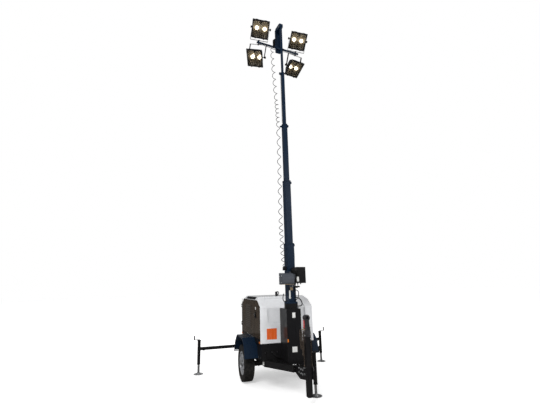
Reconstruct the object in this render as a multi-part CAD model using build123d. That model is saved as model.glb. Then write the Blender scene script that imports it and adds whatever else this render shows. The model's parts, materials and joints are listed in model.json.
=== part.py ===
# Mobile light tower with a vertical five-section mast, parked on its outriggers.
# Millimetres, +Z up, drawbar end towards -Y. The origin is on the floor, under the middle of the machine.
import os
from math import atan2, cos, degrees, hypot, radians, sin, tan

from build123d import *

os.makedirs("parts", exist_ok=True)

# Running clearances
SEAT = 0.3                # gap left between pieces that are bolted or set together
RUN = 6.0                 # gap beside pieces that move past each other

# Where the mast stands, and how far it is turned from its parked position
MAST_Y = -641.0
MAST_TURN = 8.0

# Body
BODY_HALF = 500.0
BODY_FRONT = MAST_Y + 243.0
BODY_REAR = MAST_Y + 1750.0
HOOD_BOTTOM = 745.0
ROOF_EDGE = 1468.0        # where the side walls turn into the roof's chamfer
HOOD_FOLD = ROOF_EDGE - 128.0         # where the front and rear panels begin to slope
HOOD_TOP = ROOF_EDGE + 57.0
HOOD_SLOPE = 290.0        # run of the sloping front and rear panels
HOOD_SKIN = 4.0
ROOF_CHAMFER = 52.0
FRAME_LIP = 24.0          # width of the folded frame behind the panels
FRAME_CORNER = 60.0       # reach of the frame's long rails from the side wall
FRAME_REAR_POST = 80.0    # what stands of the frame beside its rear opening
SKIRT_FRONT = BODY_FRONT + 6.0
SKIRT_REAR = BODY_REAR - 10.0
SILL_SHORT = 20.0         # the sill's ends, in from the skirt's
SILL_TALL = 12.0
PANEL_GAP = 4.0           # gap between neighbouring body panels
POST_LENGTH = 392.0       # fixed side panel between the front corner and the door
DOOR_BOTTOM = 815.0
RECESS_HALF = 360.0       # recess in the front panel, round the mast
RECESS_BOTTOM = 1082.0
RECESS_DEPTH = 25.0
RECESS_RIM = 30.0         # border left above the recess, at the roof's edge
RECESS_RADIUS = 40.0
POST_REAR = BODY_FRONT + POST_LENGTH
SIDE_FRONT = BODY_FRONT + 14.0        # the side panels begin behind the front panel's return
SIDE_REAR = BODY_REAR - 14.0
SIDE_HIGH = ROOF_EDGE - PANEL_GAP
ROOF_FRONT = BODY_FRONT + HOOD_SLOPE + 10.0
ROOF_REAR = BODY_REAR - HOOD_SLOPE - 10.0
DOOR_FRONT = POST_REAR + PANEL_GAP + 2.0
ENGINE_FRONT = MAST_Y + 1080.0
ENGINE_REAR = MAST_Y + 1600.0
ENGINE_HALF = 230.0
ENGINE_TOP = 1180.0
GENERATOR_FRONT = MAST_Y + 560.0
GENERATOR_HALF = 190.0
GENERATOR_TOP = 1000.0
EXHAUST_X = -80.0
EXHAUST_Y = BODY_FRONT + 330.0
EXHAUST_TALL = 85.0
EXHAUST_R = 24.0
EXHAUST_WALL = 4.0
MARKER_FRONT = BODY_FRONT + 45.0
MARKER_REAR = BODY_REAR - 60.0
MARKER_HALF = 22.0
MARKER_DEEP = 12.0
MARKER_LOW = HOOD_BOTTOM + 3.0
MARKER_TALL = 30.0
REAR_LAMP_NEAR = 330.0    # inner and outer edge of a rear lamp, from the centre line
REAR_LAMP_FAR = 430.0
REAR_LAMP_LOW = 780.0
REAR_LAMP_TALL = 70.0
REAR_LAMP_DEEP = 30.0

# Chassis
RAIL_WIDE = 60.0
RAIL_TALL = 100.0
RAIL_WALL = 4.0
RAIL_TOP = 470.0
TRAY_HALF = BODY_HALF - 25.0
RAIL_X = TRAY_HALF - 75.0
TRAY_WALL = 3.0
NOSE_REAR = MAST_Y - 250.0
NOSE_FRONT = MAST_Y - 715.0
NOSE_PLATE = 10.0
NOSE_GAP = 88.0           # clear width between the nose plates
NOSE_LAP = 60.0           # nose plates behind the meeting of the rails
NOSE_WAIST = 180.0        # where the nose plates' edges bend, ahead of that meeting
NOSE_RISE = (20.0, 60.0)  # upper edge above the rails at the bend and at the front
NOSE_DROP = (60.0, 15.0)  # lower edge below the rails, at the same places
PIVOT_Z = 425.0
LOCK_UP = 85.0            # from the drawbar's pivot pin to its locking pin
PIN_D = 20.0
DECK_HALF = 205.0         # plate between the converging rails, under the column
DECK_PLATE = 10.0
DECK_FRONT = MAST_Y - 130.0
AXLE_TUBE = 76.0
AXLE_WALL = 6.0
ARM_RUN = 160.0           # the axle tube's middle ahead of the wheels
ARM_HALF = 38.0           # half height of a trailing arm at the tube
ARM_FRONT = 45.0          # the arm's ends ahead of and behind the tube's middle
ARM_REAR = 30.0
ARM_EYE = 26.0            # half height of the arm at the spindle
ARM_END = 32.0            # the arm's end behind the spindle
ARM_PLATE = 31.0          # thickness of an arm
SPINDLE_OUT = 38.0        # the spindle's end outside the wheel's middle

# Wheels and fenders
WHEEL_Y = MAST_Y + 948.0
WHEEL_X = TRAY_HALF + 123.0
TYRE_R = 324.0
TYRE_WIDE = 200.0
RIM_R = 196.0
RIM_FLANGE = 205.0
RIM_WALL = 5.0
RIM_INSET = 18.0          # from the tyre's side to the rim's flange
RIM_WELL = 45.0           # from the rim's edge to its well
RIM_DROP = 14.0           # depth of the rim's well
FIT = 0.05                # gap at pins that turn in their bores
HUB_R = 44.0
HUB_OUT = 6.0             # the hub's end outside the rim's edge
HUB_CAP = 10.0            # thickness of its closed end
AXLE_R = 22.0
# wheel disc as a section: distance from the rim's outer edge, and radius
DISC = (
    (18.0, RIM_R - 12.0), (24.0, RIM_R - 12.0), (14.0, 120.0), (40.0, 84.0),
    (40.0, AXLE_R + FIT), (30.0, AXLE_R + FIT), (30.0, 80.0), (4.0, 118.0),
)
WHEEL_HOLES = 8
WHEEL_HOLE_R = 24.0
WHEEL_HOLE_PCD = 276.0
STUD_PCD = 114.3
STUDS = 5
STUD_TURN = 18.0
STUD_R = 10.0
STUD_START = 14.0         # the wheel nuts' ends, in from the rim's edge
STUD_END = 36.0
SHOULDER = 24.0           # width of the tyre's rounded shoulder
SHOULDER_DROP = 26.0      # from the tread's crown down to the middle of that round
CROWN = 5.0               # how much lower the tread's edges are than its crown
BULGE = 5.0               # how far the shoulder's middle stays inside the widest part
BEAD_TALL = 14.0
BEAD_RISE = 55.0          # from the bead to the widest part of the side wall
FENDER_OUT = TRAY_HALF + 251.0
FENDER_SHEET = 3.0
FENDER_LIP = 22.0
FENDER_TOP = 800.0
# mudguard bends seen from the side, ahead of and behind the wheel's middle, and their heights
FENDER_FRONT = ((-430.0, 470.0), (-360.0, 700.0))
FENDER_FLAT = (-235.0, 245.0)         # ends of the flat top
FENDER_REAR = ((425.0, 655.0), (530.0, 450.0))
FENDER_MOUTH = 475.0      # the band has no floor below this height
FENDER_END = 5.0          # what stays of the band at the opening's ends
FENDER_ARCH = 330.0       # half of the opening in the inner plate
FENDER_ARCH_TOP = RAIL_TOP + 20.0

# Outriggers and jacks
LEFT_BEAM_Y = MAST_Y + 1829.0
RIGHT_BEAM_Y = MAST_Y + 1899.0
BEAM_Z = 482.0
BEAM = 55.0
BEAM_WALL = 5.0
BEAM_PLAY = SEAT          # gap between a beam and its housing tube
HOUSING_WALL = 5.0
HOUSING_HALF = TRAY_HALF - 5.0
JACK_X = TRAY_HALF + 921.0
BEAM_INNER = 300.0        # inner end of an extended beam, from the centre line
JACK_R = 32.0
JACK_WALL = 4.0
JACK_TOP = 640.0
JACK_BOTTOM = 185.0
LEG_R = 22.0
LEG_WALL = 4.0
LEG_TOP = 340.0
JACK_CAP = 30.0           # solid head above the bore of a jack tube
JACK_HEAD = 12.0          # gearbox head on the tube, and how far it stands out round it
JACK_HEAD_OUT = 6.0
CRANK_ARM = 98.0
CRANK_LOW = 18.0          # heights above the tube's top: the arm's faces and the grip's end
CRANK_HIGH = 26.0
CRANK_END = 100.0
CRANK_HALF = 9.0
CRANK_GRIP_R = 11.0
BEAM_END = 40.0           # solid end of a beam, at the jack
FOOT_R = 98.0
FOOT_PLATE = 6.0
DISH_OUT = 24.0           # the foot's cone round the leg
DISH_TALL = 30.0
LEG_COLLAR = 60.0         # guide round the leg's upper end
LEG_COLLAR_WALL = 6.0
FRONT_JACK_X = 258.0
FRONT_JACK_Y = MAST_Y - 300.0
FRONT_JACK_BOTTOM = 170.0
JACK_ARM_FRONT = 30.0     # bracket from the nose plate to the jack: its faces round the jack's middle
JACK_ARM_REAR = 8.0
JACK_ARM_LOW = RAIL_TOP - 70.0
JACK_ARM_HIGH = RAIL_TOP - 15.0
JACK_ARM_LAP = 3.0

RAIL_REAR = LEFT_BEAM_Y - BEAM / 2 - BEAM_PLAY - HOUSING_WALL - SEAT
SADDLE = 16.0             # plate under the housing tubes at the end of each rail

# Column that carries the mast, and the sections
COLUMN_HALF = 130.0
RING_R = 118.0
COLUMN_FRONT = MAST_Y - RING_R
COLUMN_WALL = 5.0
COLUMN_LID = 12.0
COLUMN_FOOT_R = 78.0      # pad under the turning mast
COLUMN_TOP = 1330.0
RING_TOP = 1420.0
COLLAR_TALL = 18.0        # turning collar of the lowest section, on the ring
MAST_FOOT = 10.0          # thickness of its bottom plate
MAST_BOTTOM = 560.0
MAST_TOP = 2470.0
MAST_STROKE = 1095.0      # how far each section has slid out of the one before
# outer side of each square section, its wall, and how far it stands proud of the one before when lowered
SECTIONS = [
    dict(side=140.0, wall=6.0, proud=0.0),
    dict(side=114.0, wall=5.0, proud=105.0),
    dict(side=84.0, wall=5.0, proud=90.0),
    dict(side=58.0, wall=5.0, proud=78.0),
    dict(side=38.0, wall=4.0, proud=82.0),
]
SECTION_LONG = 1960.0
MAST_HOLE_R = SECTIONS[0]["side"] / 2 * 2 ** 0.5 + RUN
BRACKET_TALL = 61.0       # height of the ears at a section's top
BRACKET_REACH = 46.0
# heights below the section's top: the ears' corners and the pulley's pin
BRACKET_DROP = 4.0
EAR_HIGH = 12.0
EAR_LOW = 50.0
EAR_IN = 8.0              # half of the gap between the ears
EAR_PLATE = 5.0
PULLEY_DROP = 32.0
PULLEY_IN = 20.0
PULLEY_R = 17.0
PULLEY_HALF = 7.5
PULLEY_PIN_R = 5.0
PULLEY_PIN_HALF = 15.0
MAST_HIGH = MAST_TOP + sum(row["proud"] + MAST_STROKE for row in SECTIONS[1:])
PAD_GAP = 0.6             # running gap between a wear pad and the section outside it
PAD_LONG = 120.0

# Winch and electrical box, in the mast's frame
WINCH_LEFT = -257.0
WINCH_RIGHT = -25.0
WINCH_LOW = 1745.0
WINCH_HIGH = WINCH_LOW + 190.0
WINCH_DEEP = 130.0
WINCH_PLATE = 120.0
WINCH_ROUND = 14.0
# cover seen from the side: distance behind its face, and height
WINCH_COVER = ((20.0, 0.0), (0.0, 30.0), (0.0, 115.0), (35.0, 170.0), (80.0, 190.0))
WINCH_BACK = 6.0          # gap between the cover and the mast
WINCH_SHEET = 8.0
WINCH_DOWN = 55.0         # the plate below and above the cover
WINCH_UP = 25.0
CRANK_BOSS = 30.0
CRANK_BOSS_R = 26.0
BOX_NEAR = 20.0           # the box's sides, from the mast's side
BOX_FAR = 210.0
BOX_FRONT = -70.0
BOX_REAR = -10.0
BOX_LOW = 1760.0
BOX_HIGH = 2040.0
BOX_ROUND = 8.0
LUGS = (1820.0, 1960.0)
LUG_LONG = 24.0
LUG_TALL = 30.0
LUG_INSET = 15.0          # the lugs' faces, in from the box's

# Mast head, crossbar and lamps, in the mast's own turned frame
HEAD_Y = 160.0            # the channel hangs this far behind the mast
HEAD_WIDE = 110.0
HEAD_DEEP = 50.0
HEAD_WALL = 6.0
HEAD_LONG = 580.0         # from the mast's top down to the channel's lower end
HEAD_RISE = 30.0          # the cap's plates above the mast's top
HEAD_SKIRT = 60.0         # the cap's plates below the mast's top
HEAD_PEAK = 20.0          # where the cap's top begins, behind the mast's middle
HEAD_CHEEK = 15.0         # the cap is narrower than the channel on each side
HEAD_LAP = 40.0
BAR_Z = MAST_HIGH - 470.0
BAR_LEAN = 27.6           # turn of the crossbar about its own axis, with all its lamps
BAR_HALF = 492.0
BAR_SIDE = 40.0
BAR_WALL = 3.0
LAMP_RISE = 285.0         # from the bar to a lamp's tilting axis
LAMP_SIDE = 350.0
LAMP_BACK = 220.0
LAMP_DEEP = 170.0
LAMP_SHELL = 4.0
LAMP_GLASS = 5.0
LAMP_ROUND = 22.0         # corner radii outside and inside
LAMP_INNER_ROUND = 18.0
LAMP_FLOOR = 12.0
PANE_SHORT = 6.0          # how much smaller the pane is than the housing
LAMP_PIVOT_R = 8.0
PIVOT_IN = 45.0           # a tilting stud's inner end, from the housing's side
PIVOT_OUT = 14.0          # its outer end, from the stirrup's face
KNOB_START = 3.0
KNOB_END = 26.0
KNOB_R = 17.0
SOCKET_R = 20.0
SOCKET_FRONT = 85.0       # a socket's front end and a bulb's middle, from the housing's back
BULB_DEEP = 95.0
BULB_X = 82.0
BULB_R = 34.0
YOKE_PLATE = 5.0
YOKE_WIDE = 40.0
YOKE_GAP = RUN + 2.0      # between the housing and a stirrup's arm
YOKE_LIFT = 18.0          # from the bar to the stirrup's foot
YOKE_STUD_R = 11.0
# name, place on the bar, above or below it, turn of the yoke, tilt of the lamp face downwards
LAMPS = [
    dict(name="upper_left", x=-460.0, level=1, turn=-23.6, tilt=30.7),
    dict(name="lower_left", x=-460.0, level=-1, turn=-44.1, tilt=33.8),
    dict(name="upper_right", x=430.0, level=1, turn=-19.5, tilt=29.9),
    dict(name="lower_right", x=430.0, level=-1, turn=11.7, tilt=32.6),
]

# Drawbar, coupler and chains
DRAWBAR = 76.0
DRAWBAR_WALL = 5.0
DRAWBAR_Y = MAST_Y - 653.0
DRAWBAR_LOW = 110.0
DRAWBAR_HIGH = 1070.0
PIN_OUT = 8.0             # the pivot pin's ends outside the nose plates
BAR_HOLES = 4
BAR_HOLE_LOW = 45.0
BAR_HOLE_STEP = 55.0
BAR_HOLE_R = 9.0
COUPLER_WALL = 4.0
COUPLER_SLEEVE = 120.0    # the sleeve's length over the drawbar, and above its end
COUPLER_SHOULDER = 30.0
NECK_HALF = 34.0
NECK_DEEP = 30.0
NECK_TALL = 130.0
BALL_RISE = 160.0         # the ball's middle above the drawbar's end
COUPLER_R = 46.0
COUPLER_MOUTH = 42.0      # open end and floor of the socket, ahead of the drawbar's middle
SOCKET_FLOOR = 2.0
HANDLE_HALF = 13.0        # locking handle on the coupler's back
HANDLE_NEAR = 28.0
HANDLE_FAR = 52.0
HANDLE_LOW = 20.0
HANDLE_HIGH = 150.0
COUPLER_BALL_R = 25.6
HINGE_R = 8.0
HINGE_LONG = 70.0
HINGE_PIN = 2.0           # the hinge pin's middle behind the side panels' end
HINGE_LEAF = 30.0         # the door's leaf, and the rear panel's, from that end
HINGE_REAR_LEAF = 36.0
HINGE_LUG = 10.0
HINGE_PLATE = 3.0
HINGE_UP = 103.84         # the lower hinge above the door's lower edge
HINGE_DOWN = 57.72        # the upper hinge below the fold of the rear panel
LOUVRES = 12
LOUVRE_OPEN = 0.5492      # share of the louvres' pitch that is open
LOUVRE_LOW = 125.0        # from the door's lower edge to the first louvre
LOUVRE_HIGH = 87.0        # from the last louvre's pitch to the door's upper edge
LOUVRE_FRONT = 690.0      # ends of the louvres, from the body's front
LOUVRE_REAR = 1120.0
LINK_BAR = 6.0
LINK_LONG = 42.0
LINK_WIDE = 22.0
CHAIN_LINKS = 15
CHAIN_OUT = 22.0          # from the drawbar's side to the chain's middle
CHAIN_DROP = 60.0         # from the drawbar's end to the first link
EYE_HALF = 4.0
EYE_TALL = 7.0

# Curly mast cord, as one tube of its outer diameter
CORD_R = 37.5
CORD_BEND = 0.45          # share of the shorter neighbouring run that a bend takes up
CLIP_DROP = 55.0          # the cord's clip below the section's top
CLIP_HALF = 12.0
CLIP_FRONT = 6.0
CLIP_REAR = 30.0
CLIP_GAP = 0.5
CORD_ROUTE = [
    (-150.0, 160.0, BAR_Z - 28.5),
    (-158.0, 84.0, 5900.0),
    (-127.0, 22.0, 4990.0),
    (-131.0, 18.0, 4200.0),
    (-143.0, 14.0, 3300.0),
    (-146.0, 12.0, 2560.0),
    (-116.0, 2.0, 2050.0),
]


def block(x0, x1, y0, y1, z0, z1):
    """A box between two opposite corners."""
    return Pos((x0 + x1) / 2, (y0 + y1) / 2, (z0 + z1) / 2) * Box(abs(x1 - x0), abs(y1 - y0), abs(z1 - z0))


def along_x(points, x0, x1):
    """A profile of (y, z) points, drawn out between two x places."""
    return extrude(Plane.YZ.offset(x0) * Polygon(*points, align=None), amount=x1 - x0, dir=(1, 0, 0))


def along_y(points, y0, y1):
    """A profile of (x, z) points, drawn out between two y places."""
    face = Pos(0, y0, 0) * Rot(90, 0, 0) * Polygon(*points, align=None)
    return extrude(face, amount=y1 - y0, dir=(0, 1, 0))


def rod_x(x0, x1, y, z, radius):
    return Pos((x0 + x1) / 2, y, z) * Rot(0, 90, 0) * Cylinder(radius, abs(x1 - x0))


def rod_y(x, y0, y1, z, radius):
    return Pos(x, (y0 + y1) / 2, z) * Rot(90, 0, 0) * Cylinder(radius, abs(y1 - y0))


def rod_z(x, y, z0, z1, radius):
    return Pos(x, y, (z0 + z1) / 2) * Cylinder(radius, abs(z1 - z0))


def pipe_z(x, y, z0, z1, radius, wall):
    return rod_z(x, y, z0, z1, radius) - rod_z(x, y, z0 - 1, z1 + 1, radius - wall)


def square_tube_z(side, wall, z0, z1, x=0.0, y=0.0):
    outer = block(x - side / 2, x + side / 2, y - side / 2, y + side / 2, z0, z1)
    bore = side / 2 - wall
    return outer - block(x - bore, x + bore, y - bore, y + bore, z0 - 1, z1 + 1)


def mirrored(shape):
    return mirror(shape, about=Plane.YZ)


def turned(shape):
    """From the mast's own frame, its axis at the origin, to its place on the machine."""
    return Pos(0, MAST_Y, 0) * Rot(0, 0, MAST_TURN) * shape


def save(name, shape):
    shape.label = name
    export_step(shape, f"parts/{name}.step")


def frame():
    """Two side rails, cross members, the converging drawbar rails and the nose plates."""
    rail_low = RAIL_TOP - RAIL_TALL
    half = RAIL_WIDE / 2

    def rail(side):
        outer = block(side * RAIL_X - half, side * RAIL_X + half, BODY_FRONT, RAIL_REAR, rail_low, RAIL_TOP)
        bore = half - RAIL_WALL
        return outer - block(
            side * RAIL_X - bore, side * RAIL_X + bore, BODY_FRONT + RAIL_WALL, RAIL_REAR - RAIL_WALL,
            rail_low + RAIL_WALL, RAIL_TOP - RAIL_WALL,
        )

    body = rail(-1) + rail(1)
    inner = RAIL_X - half
    for y in (BODY_FRONT + half, WHEEL_Y - ARM_RUN, RAIL_REAR - RAIL_WIDE - half):
        body += block(-inner, inner, y - half, y + half, rail_low, RAIL_TOP)
    nose_x = NOSE_GAP / 2
    for side in (-1, 1):
        start = (side * RAIL_X, BODY_FRONT + half)
        end = (side * (nose_x + NOSE_PLATE + half), NOSE_REAR)
        run = hypot(end[0] - start[0], end[1] - start[1])
        angle = degrees(atan2(end[1] - start[1], end[0] - start[0]))
        arm = Pos(start[0], start[1], (rail_low + RAIL_TOP) / 2) * Rot(0, 0, angle) * (
            Pos(run / 2, 0, 0) * Box(run + half, RAIL_WIDE, RAIL_TALL)
        )
        body += arm
        bend = NOSE_REAR - NOSE_WAIST
        plate = [
            (NOSE_REAR + NOSE_LAP, rail_low), (NOSE_REAR + NOSE_LAP, RAIL_TOP),
            (bend, RAIL_TOP + NOSE_RISE[0]),
            (NOSE_FRONT, RAIL_TOP + NOSE_RISE[1]), (NOSE_FRONT, rail_low - NOSE_DROP[1]),
            (bend, rail_low - NOSE_DROP[0]),
        ]
        body += along_x(plate, side * nose_x, side * (nose_x + NOSE_PLATE))
    body -= block(-nose_x, nose_x, NOSE_FRONT, NOSE_REAR + NOSE_LAP + half,
                  rail_low - RAIL_TALL, RAIL_TOP + RAIL_TALL)
    body += block(-DECK_HALF, DECK_HALF, DECK_FRONT, BODY_FRONT + half, RAIL_TOP - DECK_PLATE, RAIL_TOP)
    saddle_top = BEAM_Z - BEAM / 2 - BEAM_PLAY - HOUSING_WALL - SEAT
    saddle_rear = RIGHT_BEAM_Y + BEAM / 2
    for side in (-1, 1):
        body += block(side * RAIL_X - half, side * RAIL_X + half, RAIL_REAR - RAIL_WIDE, saddle_rear,
                      saddle_top - SADDLE, saddle_top)
    reach = nose_x + 2 * NOSE_PLATE
    body -= rod_x(-reach, reach, DRAWBAR_Y, PIVOT_Z, PIN_D / 2)
    body -= rod_x(-reach, reach, DRAWBAR_Y, PIVOT_Z + LOCK_UP, PIN_D / 2)
    return body


def axle():
    """Square axle tube under the rails, with a trailing arm and a spindle at each end."""
    high = RAIL_TOP - RAIL_TALL - SEAT
    tube_y = WHEEL_Y - ARM_RUN
    mid = high - AXLE_TUBE / 2
    outer = TRAY_HALF + 1.0
    inner = outer - ARM_PLATE
    end = outer - AXLE_WALL
    body = block(-end, end, tube_y - AXLE_TUBE / 2, tube_y + AXLE_TUBE / 2, high - AXLE_TUBE, high)
    bore = AXLE_TUBE / 2 - AXLE_WALL
    body -= block(-end - 1, end + 1, tube_y - bore, tube_y + bore, mid - bore, mid + bore)
    for side in (-1, 1):
        arm = [
            (tube_y - ARM_FRONT, mid - ARM_HALF), (tube_y - ARM_FRONT, mid + ARM_HALF),
            (tube_y + ARM_REAR, mid + ARM_HALF), (WHEEL_Y + ARM_END, TYRE_R + ARM_EYE),
            (WHEEL_Y + ARM_END, TYRE_R - ARM_EYE), (tube_y + ARM_REAR, mid - ARM_HALF),
        ]
        body += along_x(arm, side * inner, side * outer)
        body += rod_x(side * inner, side * (WHEEL_X + SPINDLE_OUT), WHEEL_Y, TYRE_R, AXLE_R)
    return body


def fender_profile(inset):
    """The angular mudguard seen from the side, drawn in by its sheet on every flat."""
    front = [(WHEEL_Y + y + inset, z) for y, z in FENDER_FRONT]
    high = FENDER_TOP - inset
    top = [(WHEEL_Y + FENDER_FLAT[0] + inset, high), (WHEEL_Y + FENDER_FLAT[1] - inset, high)]
    rear = [(WHEEL_Y + y - inset, z) for y, z in FENDER_REAR]
    return front + top + rear


def fender():
    """Left mudguard: a folded band, its outer lip and the inner plate bolted to the tray."""
    inner = -TRAY_HALF - SEAT
    band = along_x(fender_profile(0.0), -FENDER_OUT, inner)
    band -= along_x(fender_profile(FENDER_SHEET), -FENDER_OUT - 1, -TRAY_HALF + 1)
    lip = along_x(fender_profile(0.0), -FENDER_OUT, -FENDER_OUT + FENDER_SHEET)
    lip -= along_x(fender_profile(FENDER_LIP), -FENDER_OUT - 1, -FENDER_OUT + FENDER_SHEET + 1)
    plate = along_x(fender_profile(0.0), inner - FENDER_SHEET, inner)
    plate -= block(inner - FENDER_SHEET - 1, inner + 1, WHEEL_Y - FENDER_ARCH, WHEEL_Y + FENDER_ARCH,
                   0, FENDER_ARCH_TOP)
    # the lowest edges are open, where the band has no floor
    front = WHEEL_Y + FENDER_FRONT[0][0] + FENDER_END
    rear = WHEEL_Y + FENDER_REAR[-1][0] - 2 * FENDER_END
    opening = block(-FENDER_OUT + FENDER_SHEET, inner - FENDER_SHEET, front, rear, 0, FENDER_MOUTH)
    return (band + lip + plate) - opening


def tray():
    """Black sheet skirt on the rails, under the body."""
    low, high = RAIL_TOP + SEAT, HOOD_BOTTOM - PANEL_GAP
    front, rear = SKIRT_FRONT, SKIRT_REAR
    shell = block(-TRAY_HALF, TRAY_HALF, front, rear, low, high)
    shell -= block(-TRAY_HALF + TRAY_WALL, TRAY_HALF - TRAY_WALL, front + TRAY_WALL, rear - TRAY_WALL,
                   low + TRAY_WALL, high + 1)
    sill_front, sill_rear = front + SILL_SHORT, rear - SILL_SHORT
    for side in (-1, 1):
        shell += block(side * (TRAY_HALF - TRAY_WALL), side * BODY_HALF, sill_front, sill_rear,
                       high - SILL_TALL, high)
        shell += block(side * (BODY_HALF - TRAY_WALL), side * BODY_HALF, sill_front, sill_rear,
                       high - SILL_TALL, DOOR_BOTTOM - PANEL_GAP)
        shell -= along_x(fender_profile(-PANEL_GAP), side * (TRAY_HALF + SEAT / 2), side * (BODY_HALF + 5))
    return shell


def hood_hull(inset, low=HOOD_BOTTOM):
    """The closed body shape, drawn in by a wall thickness."""
    drop = inset * tan(radians(90 - degrees(atan2(HOOD_SLOPE, HOOD_TOP - HOOD_FOLD))) / 2)
    top = HOOD_TOP - inset
    side_view = [
        (BODY_FRONT + inset, low), (BODY_FRONT + inset, HOOD_FOLD - drop),
        (BODY_FRONT + HOOD_SLOPE + drop, top), (BODY_REAR - HOOD_SLOPE - drop, top),
        (BODY_REAR - inset, HOOD_FOLD - drop), (BODY_REAR - inset, low),
    ]
    half = BODY_HALF - inset
    front_view = [
        (-half, low), (-half, ROOF_EDGE), (-half + ROOF_CHAMFER, top), (half - ROOF_CHAMFER, top),
        (half, ROOF_EDGE), (half, low),
    ]
    return along_x(side_view, -half, half) & along_y(front_view, BODY_FRONT, BODY_REAR)


def recess_block(grow):
    """What the recess in the front panel takes, before the hull is kept out of it."""
    half = RECESS_HALF + grow
    shape = block(-half, half, BODY_FRONT - 1, BODY_FRONT + HOOD_SLOPE - RECESS_RIM + grow,
                  RECESS_BOTTOM - grow, HOOD_TOP + 1)
    return fillet(shape.edges().filter_by(Axis.Y).group_by(Axis.Z)[0], RECESS_RADIUS + grow)


def hood_panels():
    """The sheet body split where its panels meet."""
    shell = hood_hull(0.0) - hood_hull(HOOD_SKIN, HOOD_BOTTOM - 1.0)
    caps = shell
    for side in (-1, 1):
        caps -= block(side * (BODY_HALF - HOOD_SKIN), side * (BODY_HALF + 1), SIDE_FRONT - PANEL_GAP,
                      SIDE_REAR + PANEL_GAP, 0, ROOF_EDGE)
    front = caps & block(-BODY_HALF, BODY_HALF, BODY_FRONT - 1, ROOF_FRONT - PANEL_GAP, 0, HOOD_TOP + 1)
    rear = caps & block(-BODY_HALF, BODY_HALF, ROOF_REAR + PANEL_GAP, BODY_REAR + 1, 0, HOOD_TOP + 1)
    roof = caps & block(-BODY_HALF, BODY_HALF, ROOF_FRONT, ROOF_REAR, 0, HOOD_TOP + 1)
    cut = recess_block(0.0) - hood_hull(RECESS_DEPTH)
    pan = (hood_hull(0.0) & recess_block(HOOD_SKIN)) - hood_hull(RECESS_DEPTH + HOOD_SKIN)
    front = (front - cut) + (pan - cut)
    panels = {"hood_front": front, "hood_rear": rear, "roof": roof}
    for side, word in ((-1, "left"), (1, "right")):
        wall = shell & block(side * BODY_HALF, side * (BODY_HALF - HOOD_SKIN), SIDE_FRONT, SIDE_REAR,
                             DOOR_BOTTOM, SIDE_HIGH)
        post = wall & block(-BODY_HALF, BODY_HALF, SIDE_FRONT, POST_REAR, 0, HOOD_TOP)
        panels[f"side_post_{word}"] = post
        door = wall & block(-BODY_HALF, BODY_HALF, DOOR_FRONT, SIDE_REAR, 0, HOOD_TOP)
        pitch = (SIDE_HIGH - LOUVRE_HIGH - DOOR_BOTTOM - LOUVRE_LOW) / LOUVRES
        for row in range(LOUVRES):
            z = DOOR_BOTTOM + LOUVRE_LOW + pitch * row
            door -= block(side * (BODY_HALF - 2 * HOOD_SKIN), side * (BODY_HALF + 1),
                          BODY_FRONT + LOUVRE_FRONT, BODY_FRONT + LOUVRE_REAR, z, z + LOUVRE_OPEN * pitch)
        axis_x = side * (BODY_HALF + HINGE_R)
        for z in (DOOR_BOTTOM + HINGE_UP, HOOD_FOLD - HINGE_DOWN):
            third = HINGE_LONG / 3
            for low in (z, z + 2 * third + SEAT):
                high = low + third - SEAT
                door += rod_z(axis_x, SIDE_REAR + HINGE_PIN, low, high, HINGE_R)
                door += block(side * (BODY_HALF - 1), axis_x, SIDE_REAR - HINGE_LEAF, SIDE_REAR, low, high)
            low, high = z + third, z + 2 * third
            leaf = SIDE_REAR + PANEL_GAP + 1
            panels["hood_rear"] += rod_z(axis_x, SIDE_REAR + HINGE_PIN, low, high, HINGE_R)
            panels["hood_rear"] += block(side * (BODY_HALF - 1), side * (BODY_HALF + HINGE_PLATE), leaf,
                                         SIDE_REAR + HINGE_REAR_LEAF, low, high)
            panels["hood_rear"] += block(side * (BODY_HALF - 1), axis_x, leaf, SIDE_REAR + HINGE_LUG,
                                         low, high)
        panels[f"door_{word}"] = door
    return panels


def body_frame():
    """Hoops and rails of folded sheet behind the panel joints, which the panels bolt to."""
    low = HOOD_BOTTOM - PANEL_GAP + SEAT
    inset = HOOD_SKIN + SEAT
    lining = hood_hull(inset, low) - hood_hull(inset + FRAME_LIP, low - 1.0)
    half = BODY_HALF
    strips = [
        block(-half, half, POST_REAR - FRAME_LIP, POST_REAR + FRAME_LIP, low, HOOD_TOP),
        block(-half, half, ROOF_REAR - FRAME_LIP, ROOF_REAR + FRAME_LIP, low, HOOD_TOP),
        block(-half, half, SIDE_REAR - FRAME_LIP, BODY_REAR, low, HOOD_TOP),
    ]
    for side in (-1, 1):
        near = side * (half - FRAME_CORNER)
        strips.append(block(side * half, side * (RECESS_HALF + RECESS_RIM), BODY_FRONT,
                            SIDE_FRONT + FRAME_LIP, low, HOOD_TOP))
        strips.append(block(side * half, near, BODY_FRONT, BODY_REAR, SIDE_HIGH - FRAME_LIP, HOOD_TOP))
        strips.append(block(side * half, near, BODY_FRONT, BODY_REAR, low, low + FRAME_LIP))
    hoops = Part()
    for strip in strips:
        hoops += strip
    post = half - FRAME_REAR_POST
    rear_panel = block(-post, post, BODY_REAR - FRAME_CORNER, BODY_REAR, low - 1, HOOD_FOLD)
    hoops = (lining & hoops) - rear_panel
    for side in (-1, 1):
        hoops -= along_x(fender_profile(-PANEL_GAP), side * (TRAY_HALF + SEAT / 2), side * (BODY_HALF + 5))
    return hoops


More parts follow.
